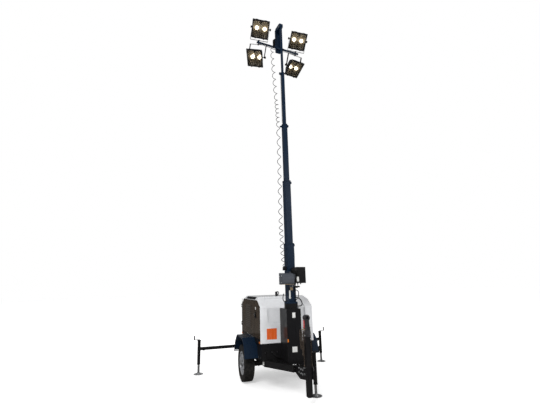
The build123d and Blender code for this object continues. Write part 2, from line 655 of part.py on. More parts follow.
def column():
    """Black box column in front of the body, which the mast's foot stands in."""
    low = RAIL_TOP + SEAT
    rear = BODY_FRONT - SEAT
    box = block(-COLUMN_HALF, COLUMN_HALF, COLUMN_FRONT, rear, low, COLUMN_TOP)
    wall = COLUMN_WALL
    box -= block(-COLUMN_HALF + wall, COLUMN_HALF - wall, COLUMN_FRONT + wall, rear - wall, low + wall,
                 COLUMN_TOP - COLUMN_LID)
    box -= rod_z(0, MAST_Y, COLUMN_TOP - COLUMN_LID - 1, COLUMN_TOP + 1, MAST_HOLE_R)
    foot = rod_z(0, MAST_Y, low, MAST_BOTTOM - SEAT, COLUMN_FOOT_R)
    return box + foot


def ring():
    """Turning ring on the column's top, round the mast's foot."""
    outer = rod_z(0, MAST_Y, COLUMN_TOP + SEAT, RING_TOP, RING_R)
    return outer - rod_z(0, MAST_Y, COLUMN_TOP - 1, RING_TOP + 1, MAST_HOLE_R)


def mast_section(index):
    """One square section with its wear pads and the pulley bracket at its top, in the mast's own frame."""
    row = SECTIONS[index]
    low = MAST_BOTTOM if index == 0 else section_low(index)
    high = section_high(index)
    body = square_tube_z(row["side"], row["wall"], low, high)
    if index == 0:
        # a turning collar that bears on the ring
        collar_top = RING_TOP + COLLAR_TALL
        collar = rod_z(0, 0, RING_TOP + SEAT, collar_top, RING_R)
        inner = row["side"] / 2 - 1
        body += collar - block(-inner, inner, -inner, inner, RING_TOP - 1, collar_top + 1)
        body += block(-inner, inner, -inner, inner, MAST_BOTTOM, MAST_BOTTOM + MAST_FOOT)
    else:
        outside = SECTIONS[index - 1]
        reach = outside["side"] / 2 - outside["wall"] - PAD_GAP
        body += square_tube_z(2 * reach, reach - row["side"] / 2 + 1, low, low + PAD_LONG)
    if index < len(SECTIONS) - 1:
        body += pulley_bracket(index)
    return body


def section_high(index):
    return MAST_TOP + sum(SECTIONS[i]["proud"] + MAST_STROKE for i in range(1, index + 1))


def section_low(index):
    return section_high(index) - SECTION_LONG


def pulley_bracket(index):
    """Two ears and a pulley on the side of a section's top."""
    half = SECTIONS[index]["side"] / 2
    high = section_high(index)
    top = high - BRACKET_DROP
    side = -1 if index == 3 else 1
    near, far = side * (half - 1), side * (half + BRACKET_REACH)
    ears = Part()
    for y in (-EAR_IN - EAR_PLATE, EAR_IN):
        ear = [(near, top - BRACKET_TALL), (far, high - EAR_LOW), (far, high - EAR_HIGH), (near, top)]
        ears += along_y(ear, y, y + EAR_PLATE)
    x, z = far - side * PULLEY_IN, high - PULLEY_DROP
    pulley = rod_y(x, -PULLEY_HALF, PULLEY_HALF, z, PULLEY_R)
    pin = rod_y(x, -PULLEY_PIN_HALF, PULLEY_PIN_HALF, z, PULLEY_PIN_R)
    return ears + pulley + pin


def cord_clip():
    """Clip that holds the curly cord to the third section's top."""
    half = SECTIONS[2]["side"] / 2
    z = section_high(2) - CLIP_DROP
    x = CORD_ROUTE[2][0] + CORD_R + SEAT + CLIP_GAP
    return block(x, -half + 1, CLIP_FRONT, CLIP_REAR, z - CLIP_HALF, z + CLIP_HALF)


def mast_head():
    """Cap on the top section, the channel that hangs behind it, and the crossbar."""
    half = SECTIONS[-1]["side"] / 2
    skirt = MAST_HIGH - HEAD_SKIRT
    high = MAST_HIGH + HEAD_RISE
    low = MAST_HIGH - HEAD_LONG
    front, back = HEAD_Y - HEAD_DEEP / 2, HEAD_Y + HEAD_DEEP / 2
    nose = -half - HEAD_WALL
    cap = [(nose, skirt), (nose, MAST_HIGH + HEAD_RISE / 2), (HEAD_PEAK, high), (back, high), (back, skirt)]
    cheek = HEAD_WIDE / 2 - HEAD_CHEEK
    body = along_x(cap, -cheek, cheek)
    body -= block(-half, half, -half, half, skirt - 1, MAST_HIGH + SEAT)
    channel = block(-HEAD_WIDE / 2, HEAD_WIDE / 2, front, back, low, skirt + HEAD_LAP)
    inner = HEAD_WIDE / 2 - HEAD_WALL
    channel -= block(-inner, inner, front - 1, back - HEAD_WALL, low - 1, skirt)
    bar = bar_place() * Box(2 * BAR_HALF, BAR_SIDE, BAR_SIDE)
    bore = bar_place() * Box(2 * BAR_HALF + 2, BAR_SIDE - 2 * BAR_WALL, BAR_SIDE - 2 * BAR_WALL)
    return (body + channel - bar) + (bar - bore)


def bar_place():
    """The middle of the crossbar, leaning about its own axis, in the mast's frame."""
    return Pos(0, HEAD_Y, BAR_Z) * Rot(BAR_LEAN, 0, 0)


def yoke(row):
    """U-shaped stirrup with a stud in the crossbar, before its turn and place."""
    half = LAMP_SIDE / 2 + YOKE_GAP
    arm = half + YOKE_PLATE
    wide = YOKE_WIDE / 2
    bar_top = -LAMP_RISE + BAR_SIDE / 2
    low = bar_top + YOKE_LIFT
    body = block(-arm, arm, -wide, wide, low, low + YOKE_PLATE)
    for side in (-1, 1):
        body += block(side * half, side * arm, -wide, wide, low, 0.0)
        body += rod_x(side * half, side * arm, 0, 0, wide)
        body -= rod_x(side * (half - 1), side * (arm + 1), 0, 0, LAMP_PIVOT_R + FIT)
    body += rod_z(0, 0, bar_top + SEAT, low, YOKE_STUD_R)
    return body


def lamp_body():
    """Square floodlight housing, open at the front, with its reflector, sockets and pivot studs."""
    front, back = -LAMP_DEEP / 2, LAMP_DEEP / 2
    floor = back - LAMP_FLOOR
    floor_side = LAMP_BACK + (LAMP_SIDE - LAMP_BACK) * LAMP_FLOOR / LAMP_DEEP
    cut = 2 * LAMP_SHELL
    body = loft([lamp_square(front, LAMP_SIDE, LAMP_ROUND), lamp_square(back, LAMP_BACK, LAMP_ROUND)])
    body -= loft([lamp_square(front - 1, LAMP_SIDE - cut, LAMP_INNER_ROUND),
                  lamp_square(floor, floor_side - cut, LAMP_INNER_ROUND)])
    for x in (-BULB_X, BULB_X):
        body += rod_y(x, back - SOCKET_FRONT, floor + 2, 0, SOCKET_R)
        body += Pos(x, back - BULB_DEEP, 0) * Sphere(BULB_R)
    half = LAMP_SIDE / 2
    arm = half + RUN + YOKE_PLATE
    for side in (-1, 1):
        body += rod_x(side * (half - PIVOT_IN), side * (arm + PIVOT_OUT), 0, 0, LAMP_PIVOT_R)
        body += rod_x(side * (arm + KNOB_START), side * (arm + KNOB_END), 0, 0, KNOB_R)
    return body


def lamp_square(y, side, radius):
    """Upright square with round corners, at a depth of the lamp."""
    return Pos(0, y, 0) * Rot(90, 0, 0) * RectangleRounded(side, side, radius)


def lamp_glass():
    face = lamp_square(-LAMP_DEEP / 2 - SEAT, LAMP_SIDE - PANE_SHORT, LAMP_INNER_ROUND)
    return extrude(face, amount=LAMP_GLASS, dir=(0, -1, 0))


def place_lamp(shape, row, tilted):
    """Tilt a lamp, turn its yoke on the bar and set both on the mast head."""
    flip = 180.0 if row["level"] < 0 and not tilted else 0.0
    if tilted:
        shape = Rot(row["tilt"], 0, 0) * shape
    stud = bar_place() * Pos(row["x"], 0, row["level"] * LAMP_RISE)
    return turned(stud * Rot(0, 0, row["turn"]) * Rot(0, flip, 0) * shape)


def winch():
    """Mast winch: a covered drum beside its plate on the mast's front."""
    front = -SECTIONS[0]["side"] / 2 - SEAT
    back = front - WINCH_BACK
    face = front - WINCH_DEEP
    cover = [(face + behind, WINCH_LOW + rise) for behind, rise in WINCH_COVER]
    cover = [(back, WINCH_LOW)] + cover + [(back, WINCH_HIGH)]
    body = along_x(cover, WINCH_LEFT, WINCH_RIGHT)
    body = fillet(body.edges().filter_by(Axis.X).group_by(Axis.Y)[0], WINCH_ROUND)
    body += block(-WINCH_PLATE / 2, WINCH_PLATE / 2, front - WINCH_SHEET, front,
                  WINCH_LOW - WINCH_DOWN, WINCH_HIGH + WINCH_UP)
    body += rod_x(WINCH_RIGHT, WINCH_RIGHT + CRANK_BOSS, (back + face) / 2, (WINCH_LOW + WINCH_HIGH) / 2,
                  CRANK_BOSS_R)
    return body


def side_box():
    """Flat electrical box on the right of the mast, on its two lugs."""
    near = SECTIONS[0]["side"] / 2 + SEAT
    box = block(near + BOX_NEAR, near + BOX_FAR, BOX_FRONT, BOX_REAR, BOX_LOW, BOX_HIGH)
    box = fillet(box.edges().filter_by(Axis.Y), BOX_ROUND)
    for z in LUGS:
        box += block(near, near + LUG_LONG, BOX_FRONT + LUG_INSET, BOX_REAR - LUG_INSET, z, z + LUG_TALL)
    return box


def drawbar():
    """Square drawbar folded upright in the nose plates, with its adjusting holes."""
    half = DRAWBAR / 2
    body = square_tube_z(DRAWBAR, DRAWBAR_WALL, DRAWBAR_LOW, DRAWBAR_HIGH, 0, DRAWBAR_Y)
    body += rod_x(-half, half, DRAWBAR_Y, PIVOT_Z, PIN_D)
    reach = NOSE_GAP / 2 + NOSE_PLATE + PIN_OUT
    body += rod_x(-reach, reach, DRAWBAR_Y, PIVOT_Z, PIN_D / 2 - FIT)
    for step in range(BAR_HOLES):
        z = DRAWBAR_LOW + BAR_HOLE_LOW + BAR_HOLE_STEP * step
        body -= rod_x(-half - 1, half + 1, DRAWBAR_Y, z, BAR_HOLE_R)
    return body


def coupler():
    """Ball coupler on the drawbar's end, its socket turned to the front."""
    y, z = DRAWBAR_Y, DRAWBAR_HIGH + SEAT
    outer = DRAWBAR / 2 + COUPLER_WALL
    inner = DRAWBAR / 2 + SEAT
    low = z - COUPLER_SLEEVE
    body = block(-outer, outer, y - outer, y + outer, low, z + COUPLER_SHOULDER)
    body -= block(-inner, inner, y - inner, y + inner, low - 1, z)
    neck = [(-outer, z), (outer, z), (NECK_HALF, z + NECK_TALL), (-NECK_HALF, z + NECK_TALL)]
    body += along_y(neck, y - NECK_DEEP, y + NECK_DEEP)
    ball = z + BALL_RISE
    body += rod_y(0, y - COUPLER_MOUTH, y + NECK_DEEP, ball, COUPLER_R)
    body -= rod_y(0, y - COUPLER_MOUTH - 1, y - SOCKET_FLOOR, ball, COUPLER_BALL_R)
    body += block(-HANDLE_HALF, HANDLE_HALF, y + HANDLE_NEAR, y + HANDLE_FAR,
                  z + HANDLE_LOW, z + HANDLE_HIGH)
    return body


def chains():
    """Two safety chains hanging beside the drawbar from a shackle bar on its head."""
    inner = LINK_LONG - 2 * LINK_BAR
    step = inner - SEAT
    slot = SlotOverall(LINK_LONG, LINK_WIDE) - SlotOverall(inner, LINK_WIDE - 2 * LINK_BAR)
    flat = Rot(0, 90, 0) * (Pos(0, 0, -LINK_BAR / 2) * extrude(slot, amount=LINK_BAR))
    links = []
    x = DRAWBAR / 2 + CHAIN_OUT
    near = DRAWBAR / 2 + COUPLER_WALL + SEAT
    top = DRAWBAR_HIGH - CHAIN_DROP
    eye_top = top + inner / 2 - SEAT
    for side in (-1, 1):
        for number in range(CHAIN_LINKS):
            spin = 90.0 * (number % 2)
            links.append(Pos(side * x, DRAWBAR_Y, top - step * number) * Rot(0, 0, spin) * flat)
        links.append(block(side * near, side * (x + EYE_HALF), DRAWBAR_Y - EYE_HALF, DRAWBAR_Y + EYE_HALF,
                           eye_top - EYE_TALL, eye_top))
    return links


def jack_tube(x, y, low, out):
    """Outer jack tube with its gearbox head and crank, and the bore that the leg slides in."""
    grip = x + out * CRANK_ARM
    arm_low, arm_high = JACK_TOP + CRANK_LOW, JACK_TOP + CRANK_HIGH
    tube = rod_z(x, y, low, JACK_TOP, JACK_R)
    tube += rod_z(x, y, JACK_TOP - 1, JACK_TOP + JACK_HEAD, JACK_R + JACK_HEAD_OUT)
    tube += rod_z(x, y, JACK_TOP, arm_high, CRANK_HALF)
    tube += block(x, grip, y - CRANK_HALF, y + CRANK_HALF, arm_low, arm_high)
    tube += rod_z(grip, y, arm_low, JACK_TOP + CRANK_END, CRANK_GRIP_R)
    return tube, rod_z(x, y, low - 1, JACK_TOP - JACK_CAP, JACK_R - JACK_WALL)


def beam(side, y):
    """Outrigger beam with its jack tube."""
    half = BEAM / 2
    bore = half - BEAM_WALL
    outer = block(side * BEAM_INNER, side * JACK_X, y - half, y + half, BEAM_Z - half, BEAM_Z + half)
    outer -= block(side * (BEAM_INNER - 1), side * (JACK_X - BEAM_END), y - bore, y + bore,
                   BEAM_Z - bore, BEAM_Z + bore)
    tube, hollow = jack_tube(side * JACK_X, y, JACK_BOTTOM, side)
    return outer + tube - hollow


def leg(x, y):
    """Inner jack leg with its foot plate on the floor."""
    body = pipe_z(x, y, 0.0, LEG_TOP, LEG_R, LEG_WALL)
    foot = rod_z(x, y, 0.0, FOOT_PLATE, FOOT_R)
    cone = Cone(LEG_R + DISH_OUT, LEG_R, DISH_TALL, align=(Align.CENTER, Align.CENTER, Align.MIN))
    dish = Pos(x, y, FOOT_PLATE) * cone - rod_z(x, y, 0, 2 * DISH_TALL, LEG_R - 1)
    collar = pipe_z(x, y, LEG_TOP - LEG_COLLAR, LEG_TOP, JACK_R - JACK_WALL - SEAT, LEG_COLLAR_WALL)
    return body + foot + collar + dish


def housing():
    """Two square tubes across the rear of the rails, one for each outrigger beam."""
    inner = BEAM / 2 + BEAM_PLAY
    outer = inner + HOUSING_WALL
    body = Part()
    end = HOUSING_HALF + 1
    for y in (LEFT_BEAM_Y, RIGHT_BEAM_Y):
        body += block(-HOUSING_HALF, HOUSING_HALF, y - outer, y + outer, BEAM_Z - outer, BEAM_Z + outer)
    for y in (LEFT_BEAM_Y, RIGHT_BEAM_Y):
        body -= block(-end, end, y - inner, y + inner, BEAM_Z - inner, BEAM_Z + inner)
    return body


def front_jack():
    """Parking jack beside the drawbar, on a bracket from the nose plate."""
    x, y = FRONT_JACK_X, FRONT_JACK_Y
    tube, hollow = jack_tube(x, y, FRONT_JACK_BOTTOM, 1)
    inner = NOSE_GAP / 2 + NOSE_PLATE + SEAT
    bracket = block(inner, x - JACK_R + JACK_ARM_LAP, y - JACK_ARM_FRONT, y + JACK_ARM_REAR,
                    JACK_ARM_LOW, JACK_ARM_HIGH)
    return tube + bracket - hollow


def tyre():
    """Left tyre as a revolved section with a flat tread and round shoulders, open at its bead."""
    half = TYRE_WIDE / 2
    bead = RIM_R + SEAT
    foot = half - RIM_INSET - RIM_WALL - SEAT
    wide = bead + BEAD_RISE
    edge = (half - SHOULDER, TYRE_R - CROWN)
    bulge = (half - BULGE, TYRE_R - SHOULDER_DROP)
    low = bead + BEAD_TALL
    with BuildSketch(Plane.XY) as section:
        with BuildLine():
            Polyline((-foot, bead), (-foot, low), (-half, wide))
            ThreePointArc((-half, wide), (-bulge[0], bulge[1]), (-edge[0], edge[1]))
            ThreePointArc((-edge[0], edge[1]), (0, TYRE_R), edge)
            ThreePointArc(edge, bulge, (half, wide))
            Polyline((half, wide), (foot, low), (foot, bead), (-foot, bead))
        make_face()
    ring_shape = revolve(section.sketch, Axis.X)
    return Pos(-WHEEL_X, WHEEL_Y, TYRE_R) * ring_shape


def rim():
    """Left steel wheel: a dished disc with hand holes in a rolled rim, and the hub on the spindle."""
    half = TYRE_WIDE / 2 - RIM_INSET
    inside = half - RIM_WALL
    seat, well = RIM_R - RIM_WALL, RIM_R - RIM_WALL - RIM_DROP
    with BuildSketch(Plane.XY) as section:
        Polygon((-half, RIM_FLANGE), (-half, seat), (-half + RIM_WELL, well), (half, well),
                (half, RIM_FLANGE), (inside, RIM_FLANGE), (inside, RIM_R - SEAT), (-inside, RIM_R - SEAT),
                (-inside, RIM_FLANGE), align=None)
    with BuildSketch(Plane.XY) as dish:
        Polygon(*[(-half + behind, radius) for behind, radius in DISC], align=None)
    body = revolve(section.sketch, Axis.X) + revolve(dish.sketch, Axis.X)
    for number in range(WHEEL_HOLES):
        angle = radians(360.0 / WHEEL_HOLES * number)
        y, z = WHEEL_HOLE_PCD / 2 * cos(angle), WHEEL_HOLE_PCD / 2 * sin(angle)
        body -= rod_x(-half - 1, -half + DISC[3][0], y, z, WHEEL_HOLE_R)
    hub = rod_x(-half - HUB_OUT, half, 0, 0, HUB_R)
    body += hub - rod_x(-half - HUB_OUT + HUB_CAP, half + 1, 0, 0, AXLE_R + FIT)
    for number in range(STUDS):
        angle = radians(360.0 / STUDS * number + STUD_TURN)
        y, z = STUD_PCD / 2 * cos(angle), STUD_PCD / 2 * sin(angle)
        body += rod_x(-half + STUD_START, -half + STUD_END, y, z, STUD_R)
    return Pos(-WHEEL_X, WHEEL_Y, TYRE_R) * body


def engine():
    """Engine and generator as two plain blocks at their real size and place."""
    low = RAIL_TOP + SEAT + TRAY_WALL + SEAT
    motor = block(-ENGINE_HALF, ENGINE_HALF, ENGINE_FRONT, ENGINE_REAR, low, ENGINE_TOP)
    generator = block(-GENERATOR_HALF, GENERATOR_HALF, GENERATOR_FRONT, ENGINE_FRONT - SEAT,
                      low, GENERATOR_TOP)
    return [motor, generator]


def exhaust():
    """Short pipe on the roof."""
    return pipe_z(EXHAUST_X, EXHAUST_Y, HOOD_TOP + SEAT, HOOD_TOP + EXHAUST_TALL, EXHAUST_R, EXHAUST_WALL)


def markers():
    """Amber side markers and red rear lamps on the sill."""
    pieces = []
    for side in (-1, 1):
        for y in (MARKER_FRONT, MARKER_REAR):
            pieces.append(block(side * (BODY_HALF + SEAT), side * (BODY_HALF + MARKER_DEEP),
                                y - MARKER_HALF, y + MARKER_HALF, MARKER_LOW, MARKER_LOW + MARKER_TALL))
        pieces.append(block(side * REAR_LAMP_NEAR, side * REAR_LAMP_FAR, BODY_REAR + SEAT,
                            BODY_REAR + REAR_LAMP_DEEP, REAR_LAMP_LOW, REAR_LAMP_LOW + REAR_LAMP_TALL))
    return pieces


def cord():
    """The curly cord's outer tube along its route, with a round at every bend."""
    path = [Vector(*point) for point in CORD_ROUTE]
    radii = []
    for before, here, after in zip(path, path[1:], path[2:]):
        turn = (here - before).get_angle(after - here)
        shorter = min((here - before).length, (after - here).length)
        radii.append(CORD_BEND * shorter / tan(radians(turn) / 2))
    line = FilletPolyline(*path, radius=radii)
    start = Plane(origin=line @ 0, z_dir=line % 0)
    return sweep(start * Circle(CORD_R), path=line)


save("frame", frame())
save("axle", axle())
left_fender = fender()
save("fender_left", left_fender)
save("fender_right", mirrored(left_fender))
save("skirt", tray())
for name, panel in hood_panels().items():
    save(name, panel)
save("body_frame", body_frame())
save("engine_and_generator", Compound(children=engine()))
save("column", column())
save("turning_ring", ring())
save("exhaust", exhaust())
save("marker_lamps", Compound(children=markers()))
save("outrigger_housing", housing())
save("front_jack_tube", front_jack())
save("front_jack_leg", leg(FRONT_JACK_X, FRONT_JACK_Y))
left_tyre, left_rim = tyre(), rim()
save("tyre_left", left_tyre)
save("tyre_right", mirrored(left_tyre))
save("rim_left", left_rim)
save("rim_right", mirrored(left_rim))
for side, word, y in ((-1, "left", LEFT_BEAM_Y), (1, "right", RIGHT_BEAM_Y)):
    save(f"outrigger_{word}", beam(side, y))
    save(f"outrigger_leg_{word}", leg(side * JACK_X, y))
save("drawbar", drawbar())
save("coupler", coupler())
save("safety_chains", Compound(children=chains()))
for index in range(len(SECTIONS)):
    section = mast_section(index)
    if index == 2:
        section += cord_clip()
    save(f"mast_section_{index + 1}", turned(section))
save("mast_head", turned(mast_head()))
save("winch", turned(winch()))
save("mast_box", turned(side_box()))
save("mast_cord", turned(cord()))
for row in LAMPS:
    save(f"yoke_{row['name']}", place_lamp(yoke(row), row, False))
    save(f"lamp_{row['name']}", place_lamp(lamp_body(), row, True))
    save(f"glass_{row['name']}", place_lamp(lamp_glass(), row, True))
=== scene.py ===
"""Looks of a towable light tower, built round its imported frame."""

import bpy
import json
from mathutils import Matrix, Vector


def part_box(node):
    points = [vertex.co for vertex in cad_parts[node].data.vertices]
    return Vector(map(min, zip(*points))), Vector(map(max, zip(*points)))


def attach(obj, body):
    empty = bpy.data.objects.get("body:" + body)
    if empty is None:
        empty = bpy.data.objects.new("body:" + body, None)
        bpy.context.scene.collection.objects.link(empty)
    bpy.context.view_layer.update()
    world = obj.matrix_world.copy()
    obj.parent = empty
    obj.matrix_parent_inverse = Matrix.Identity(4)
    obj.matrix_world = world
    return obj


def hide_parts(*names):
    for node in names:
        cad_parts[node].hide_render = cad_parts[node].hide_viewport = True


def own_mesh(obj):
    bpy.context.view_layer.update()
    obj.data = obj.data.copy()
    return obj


bl_info = {
    "name": "Mobile light tower",
    "version": (1, 0, 0),
    "blender": (4, 5, 0),
    "location": "View3D > Sidebar > Light tower",
    "description": "Dresses the frame of a towable light tower with its finishes, cords and fittings",
    "category": "Object",
}

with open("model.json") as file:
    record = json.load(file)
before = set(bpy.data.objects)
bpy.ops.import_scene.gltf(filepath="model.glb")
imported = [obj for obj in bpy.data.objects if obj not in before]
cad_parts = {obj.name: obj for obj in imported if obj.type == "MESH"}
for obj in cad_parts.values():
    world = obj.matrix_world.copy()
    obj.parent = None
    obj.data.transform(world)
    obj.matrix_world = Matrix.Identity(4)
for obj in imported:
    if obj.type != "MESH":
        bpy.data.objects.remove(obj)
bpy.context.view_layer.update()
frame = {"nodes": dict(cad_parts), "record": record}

import json
from math import atan2, ceil, cos, hypot, pi, radians, sin

import bmesh
import bpy
from bpy.props import FloatProperty, FloatVectorProperty, IntProperty, PointerProperty
from mathutils import Matrix, Vector

RIGHT, BACK, UP, FORE, DOWN = (1, 0, 0), (0, 1, 0), (0, 0, 1), (0, -1, 0), (0, 0, -1)
SIDES = ((-1, "left"), (1, "right"))
JOINTS = {joint["name"]: joint for joint in frame["record"]["behaviour"]["joints"]}
MAST = Vector(JOINTS["mast_turn"]["pos_m"])
MAST_TURN = -radians(JOINTS["mast_turn"]["range_deg"][0])
MAST_FRAME = Matrix.Translation((0, MAST.y, 0)) @ Matrix.Rotation(MAST_TURN, 4, "Z")


# Sizes and colours that a user would change

def size(name, text, metres):
    return FloatProperty(name=name, description=text, default=metres, min=0.0, unit="LENGTH")


def colour(name, text, rgb):
    return FloatVectorProperty(name=name, description=text, default=rgb, subtype="COLOR", min=0.0, max=1.0)


class TowerSizes(bpy.types.PropertyGroup):
    cord_wire: size("Cord thickness", "Diameter of the curly cord's cable", 0.011)
    cord_coil: size("Coil radius", "From the middle of the coil to the middle of its cable", 0.0325)
    lead_wire: size("Lead thickness", "Diameter of the lamp leads", 0.008)
    hoist_wire: size("Hoist rope", "Diameter of the mast's hoist ropes", 0.005)
    bolt_head: size("Bolt head", "Radius of a common bolt head", 0.010)
    flute_depth: size("Flute depth", "Depth of the reflector's flutes", 0.0035)
    flutes: IntProperty(name="Flutes", description="Flutes round each bulb", default=22, min=6)
    tread_blocks: IntProperty(name="Tread blocks", description="Blocks in a row of tread", default=52, min=8)


class TowerColours(bpy.types.PropertyGroup):
    white: colour("White", "Front, roof and rear panels", (0.80, 0.81, 0.83))
    navy: colour("Navy", "Mast sections and mudguards", (0.005, 0.015, 0.034))
    black: colour("Black", "Chassis, column and brackets", (0.009, 0.009, 0.010))
    grey: colour("Grey", "Winch cover", (0.065, 0.072, 0.088))
    bronze: colour("Bronze", "Glossy side panels", (0.034, 0.023, 0.014))
    orange: colour("Orange", "Blank square on the front panel", (0.80, 0.13, 0.02))
    zinc: colour("Zinc", "Plated steel", (0.55, 0.56, 0.57))
    glow: colour("Glow", "Light of the bulbs", (1.0, 0.86, 0.62))
    amber: colour("Amber", "Side markers", (0.85, 0.22, 0.02))
    red: colour("Red", "Rear lamps and reflectors", (0.55, 0.02, 0.015))


def sizes():
    return bpy.context.scene.tower_sizes


# Shader building

class Shader:
    """A material, or a world, with a few short ways to add nodes."""

    def __init__(self, name, world=False):
        self.block = (bpy.data.worlds if world else bpy.data.materials).new(name)
        self.block.use_nodes = True
        self.nodes, self.links = self.block.node_tree.nodes, self.block.node_tree.links
        self.surface = self.nodes["Background" if world else "Principled BSDF"]
        self.place = None if world else self.add("TexCoord").outputs["Object"]

    def feed(self, socket, value):
        """Sets a socket to a value, or links another node's output to it."""
        if isinstance(value, bpy.types.NodeSocket):
            self.links.new(value, socket)
        else:
            socket.default_value = value

    def fill(self, node, values):
        for socket, value in values.items():
            self.feed(node.inputs[socket.replace("_", " ")], value)
        return node

    def add(self, kind, **values):
        return self.fill(self.nodes.new("ShaderNode" + kind), values)

    def set(self, **values):
        self.fill(self.surface, values)
        return self

    def noise(self, scale, detail=4.0, rough=0.55, stretch=None):
        place = self.place
        if stretch:
            place = self.add("Mapping", Vector=place, Scale=stretch).outputs["Vector"]
        return self.add("TexNoise", Scale=scale, Detail=detail, Roughness=rough, Vector=place).outputs["Fac"]

    def height(self):
        return self.add("SeparateXYZ", Vector=self.place).outputs["Z"]

    def span(self, value, low, high, to_low=0.0, to_high=1.0):
        return self.add("MapRange", Value=value, From_Min=low, From_Max=high, To_Min=to_low,
                        To_Max=to_high).outputs["Result"]

    def math(self, kind, *values):
        node = self.add("Math")
        node.operation = kind
        for socket, value in zip(node.inputs, values):
            self.feed(socket, value)
        return node.outputs["Value"]

    def mix(self, factor, first, second):
        node = self.add("Mix")
        node.data_type = "RGBA"
        self.feed(node.inputs["Factor"], factor)
        for socket, value in zip(node.inputs[6:8], (first, second)):
            self.feed(socket, value if isinstance(value, bpy.types.NodeSocket) else (*value[:3], 1.0))
        return node.outputs[2]

    def bump(self, height, strength, distance):
        relief = self.add("Bump", Strength=strength, Distance=distance, Height=height)
        return self.set(Normal=relief.outputs["Normal"])


def tint(rgb, factor):
    return tuple(min(1.0, channel * factor) for channel in rgb)


DUST = (0.22, 0.19, 0.15)


def painted(name, rgb, rough, dust=0.25, orange_peel=0.05, coat=0.3, dust_top=0.9, shine=0.5):
    """Sprayed sheet steel: faint orange peel, patchy gloss, dust that thickens towards the ground."""
    shader = Shader(name).set(Coat_Weight=coat, Coat_Roughness=0.12, Specular_IOR_Level=shine)
    patches = shader.span(shader.noise(3.0, 5.0), 0.3, 0.7)
    low = shader.span(shader.height(), 0.0, dust_top, 1.0, 0.12)
    speckle = shader.span(shader.noise(38.0, 6.0, 0.7), 0.42, 0.72)
    grime = shader.math("MULTIPLY", shader.math("MULTIPLY", speckle, low), dust)
    gloss = shader.math("ADD", shader.noise(26.0, 3.0, 0.5, (1.0, 1.0, 0.12)), grime)
    shader.set(Base_Color=shader.mix(grime, shader.mix(patches, tint(rgb, 0.86), tint(rgb, 1.1)), DUST),
               Roughness=shader.span(gloss, 0.3, 1.1, rough * 0.75, rough * 1.7))
    return shader.bump(shader.noise(420.0, 2.0), orange_peel, 0.002).block


def plated(name, rgb, rough=0.34, grain=(1.0, 1.0, 0.05)):
    """Galvanised or plated steel with drawn streaks and dull patches."""
    shader = Shader(name).set(Metallic=0.9)
    streaks = shader.noise(160.0, 4.0, 0.6, grain)
    patches = shader.span(shader.noise(14.0, 5.0), 0.35, 0.7)
    shader.set(Base_Color=shader.mix(patches, tint(rgb, 0.62), tint(rgb, 1.12)),
               Roughness=shader.span(streaks, 0.3, 0.7, rough * 0.7, rough * 1.5))
    return shader.bump(streaks, 0.12, 0.0015).block


def rubber(name, rgb, rough=0.62, dust=0.4, grain=300.0):
    """Dull rubber with dust in its pores."""
    shader = Shader(name).set(Specular_IOR_Level=0.35)
    patch = shader.span(shader.noise(24.0, 6.0, 0.7), 0.4, 0.75)
    low = shader.span(shader.height(), 0.0, 0.7, dust, dust * 0.25)
    shader.set(Base_Color=shader.mix(shader.math("MULTIPLY", patch, low), rgb, DUST),
               Roughness=shader.span(patch, 0.0, 1.0, rough, min(1.0, rough * 1.35)))
    return shader.bump(shader.noise(grain, 3.0), 0.25, 0.001).block


def clear_plastic(name, rgb):
    """Moulded lens with fine ribs inside."""
    shader = Shader(name).set(Roughness=0.12, Coat_Weight=0.6)
    cells = shader.add("TexVoronoi", Scale=160.0, Vector=shader.place).outputs["Distance"]
    shader.set(Base_Color=shader.mix(shader.span(cells, 0.1, 0.6), tint(rgb, 1.25), tint(rgb, 0.6)))
    return shader.bump(cells, 0.4, 0.001).block


def bowl_metal(name, share):
    """Bronze-tinted bright metal of a lamp's bowl, darkened to a share; a small share gives the darker copy
    that is painted shade on the reflector's flutes.
    """
    bowl = Shader(name).set(Metallic=0.25, Specular_IOR_Level=0.3)
    shade = bowl.span(bowl.noise(90.0, 3.0), 0.35, 0.7)
    dark, bright = (tint(rgb, share) for rgb in ((0.060, 0.052, 0.038), (0.165, 0.140, 0.105)))
    bowl.set(Base_Color=bowl.mix(shade, dark, bright),
             Roughness=bowl.span(shade, 0.0, 1.0, 0.32, 0.55))
    return bowl.bump(bowl.noise(60.0, 2.0), 0.1, 0.002).block


def pane(name):
    """Thin glass with faint smears."""
    glass = Shader(name).set(Transmission_Weight=1.0, IOR=1.45, Roughness=0.02, Alpha=0.28)
    smear = glass.span(glass.noise(18.0, 5.0), 0.3, 0.8)
    return glass.set(Base_Color=glass.mix(smear, (0.93, 0.95, 0.96), (0.80, 0.82, 0.83))).block


def glowing(name, rgb):
    """A lit bulb, a little uneven."""
    bulb = Shader(name).set(Emission_Strength=6.5, Roughness=0.2)
    glow = bulb.span(bulb.noise(30.0, 2.0), 0.2, 0.8)
    return bulb.set(Emission_Color=bulb.mix(glow, tint(rgb, 0.9), rgb),
                    Base_Color=bulb.mix(glow, (0.9, 0.85, 0.7), (1.0, 0.95, 0.8))).block


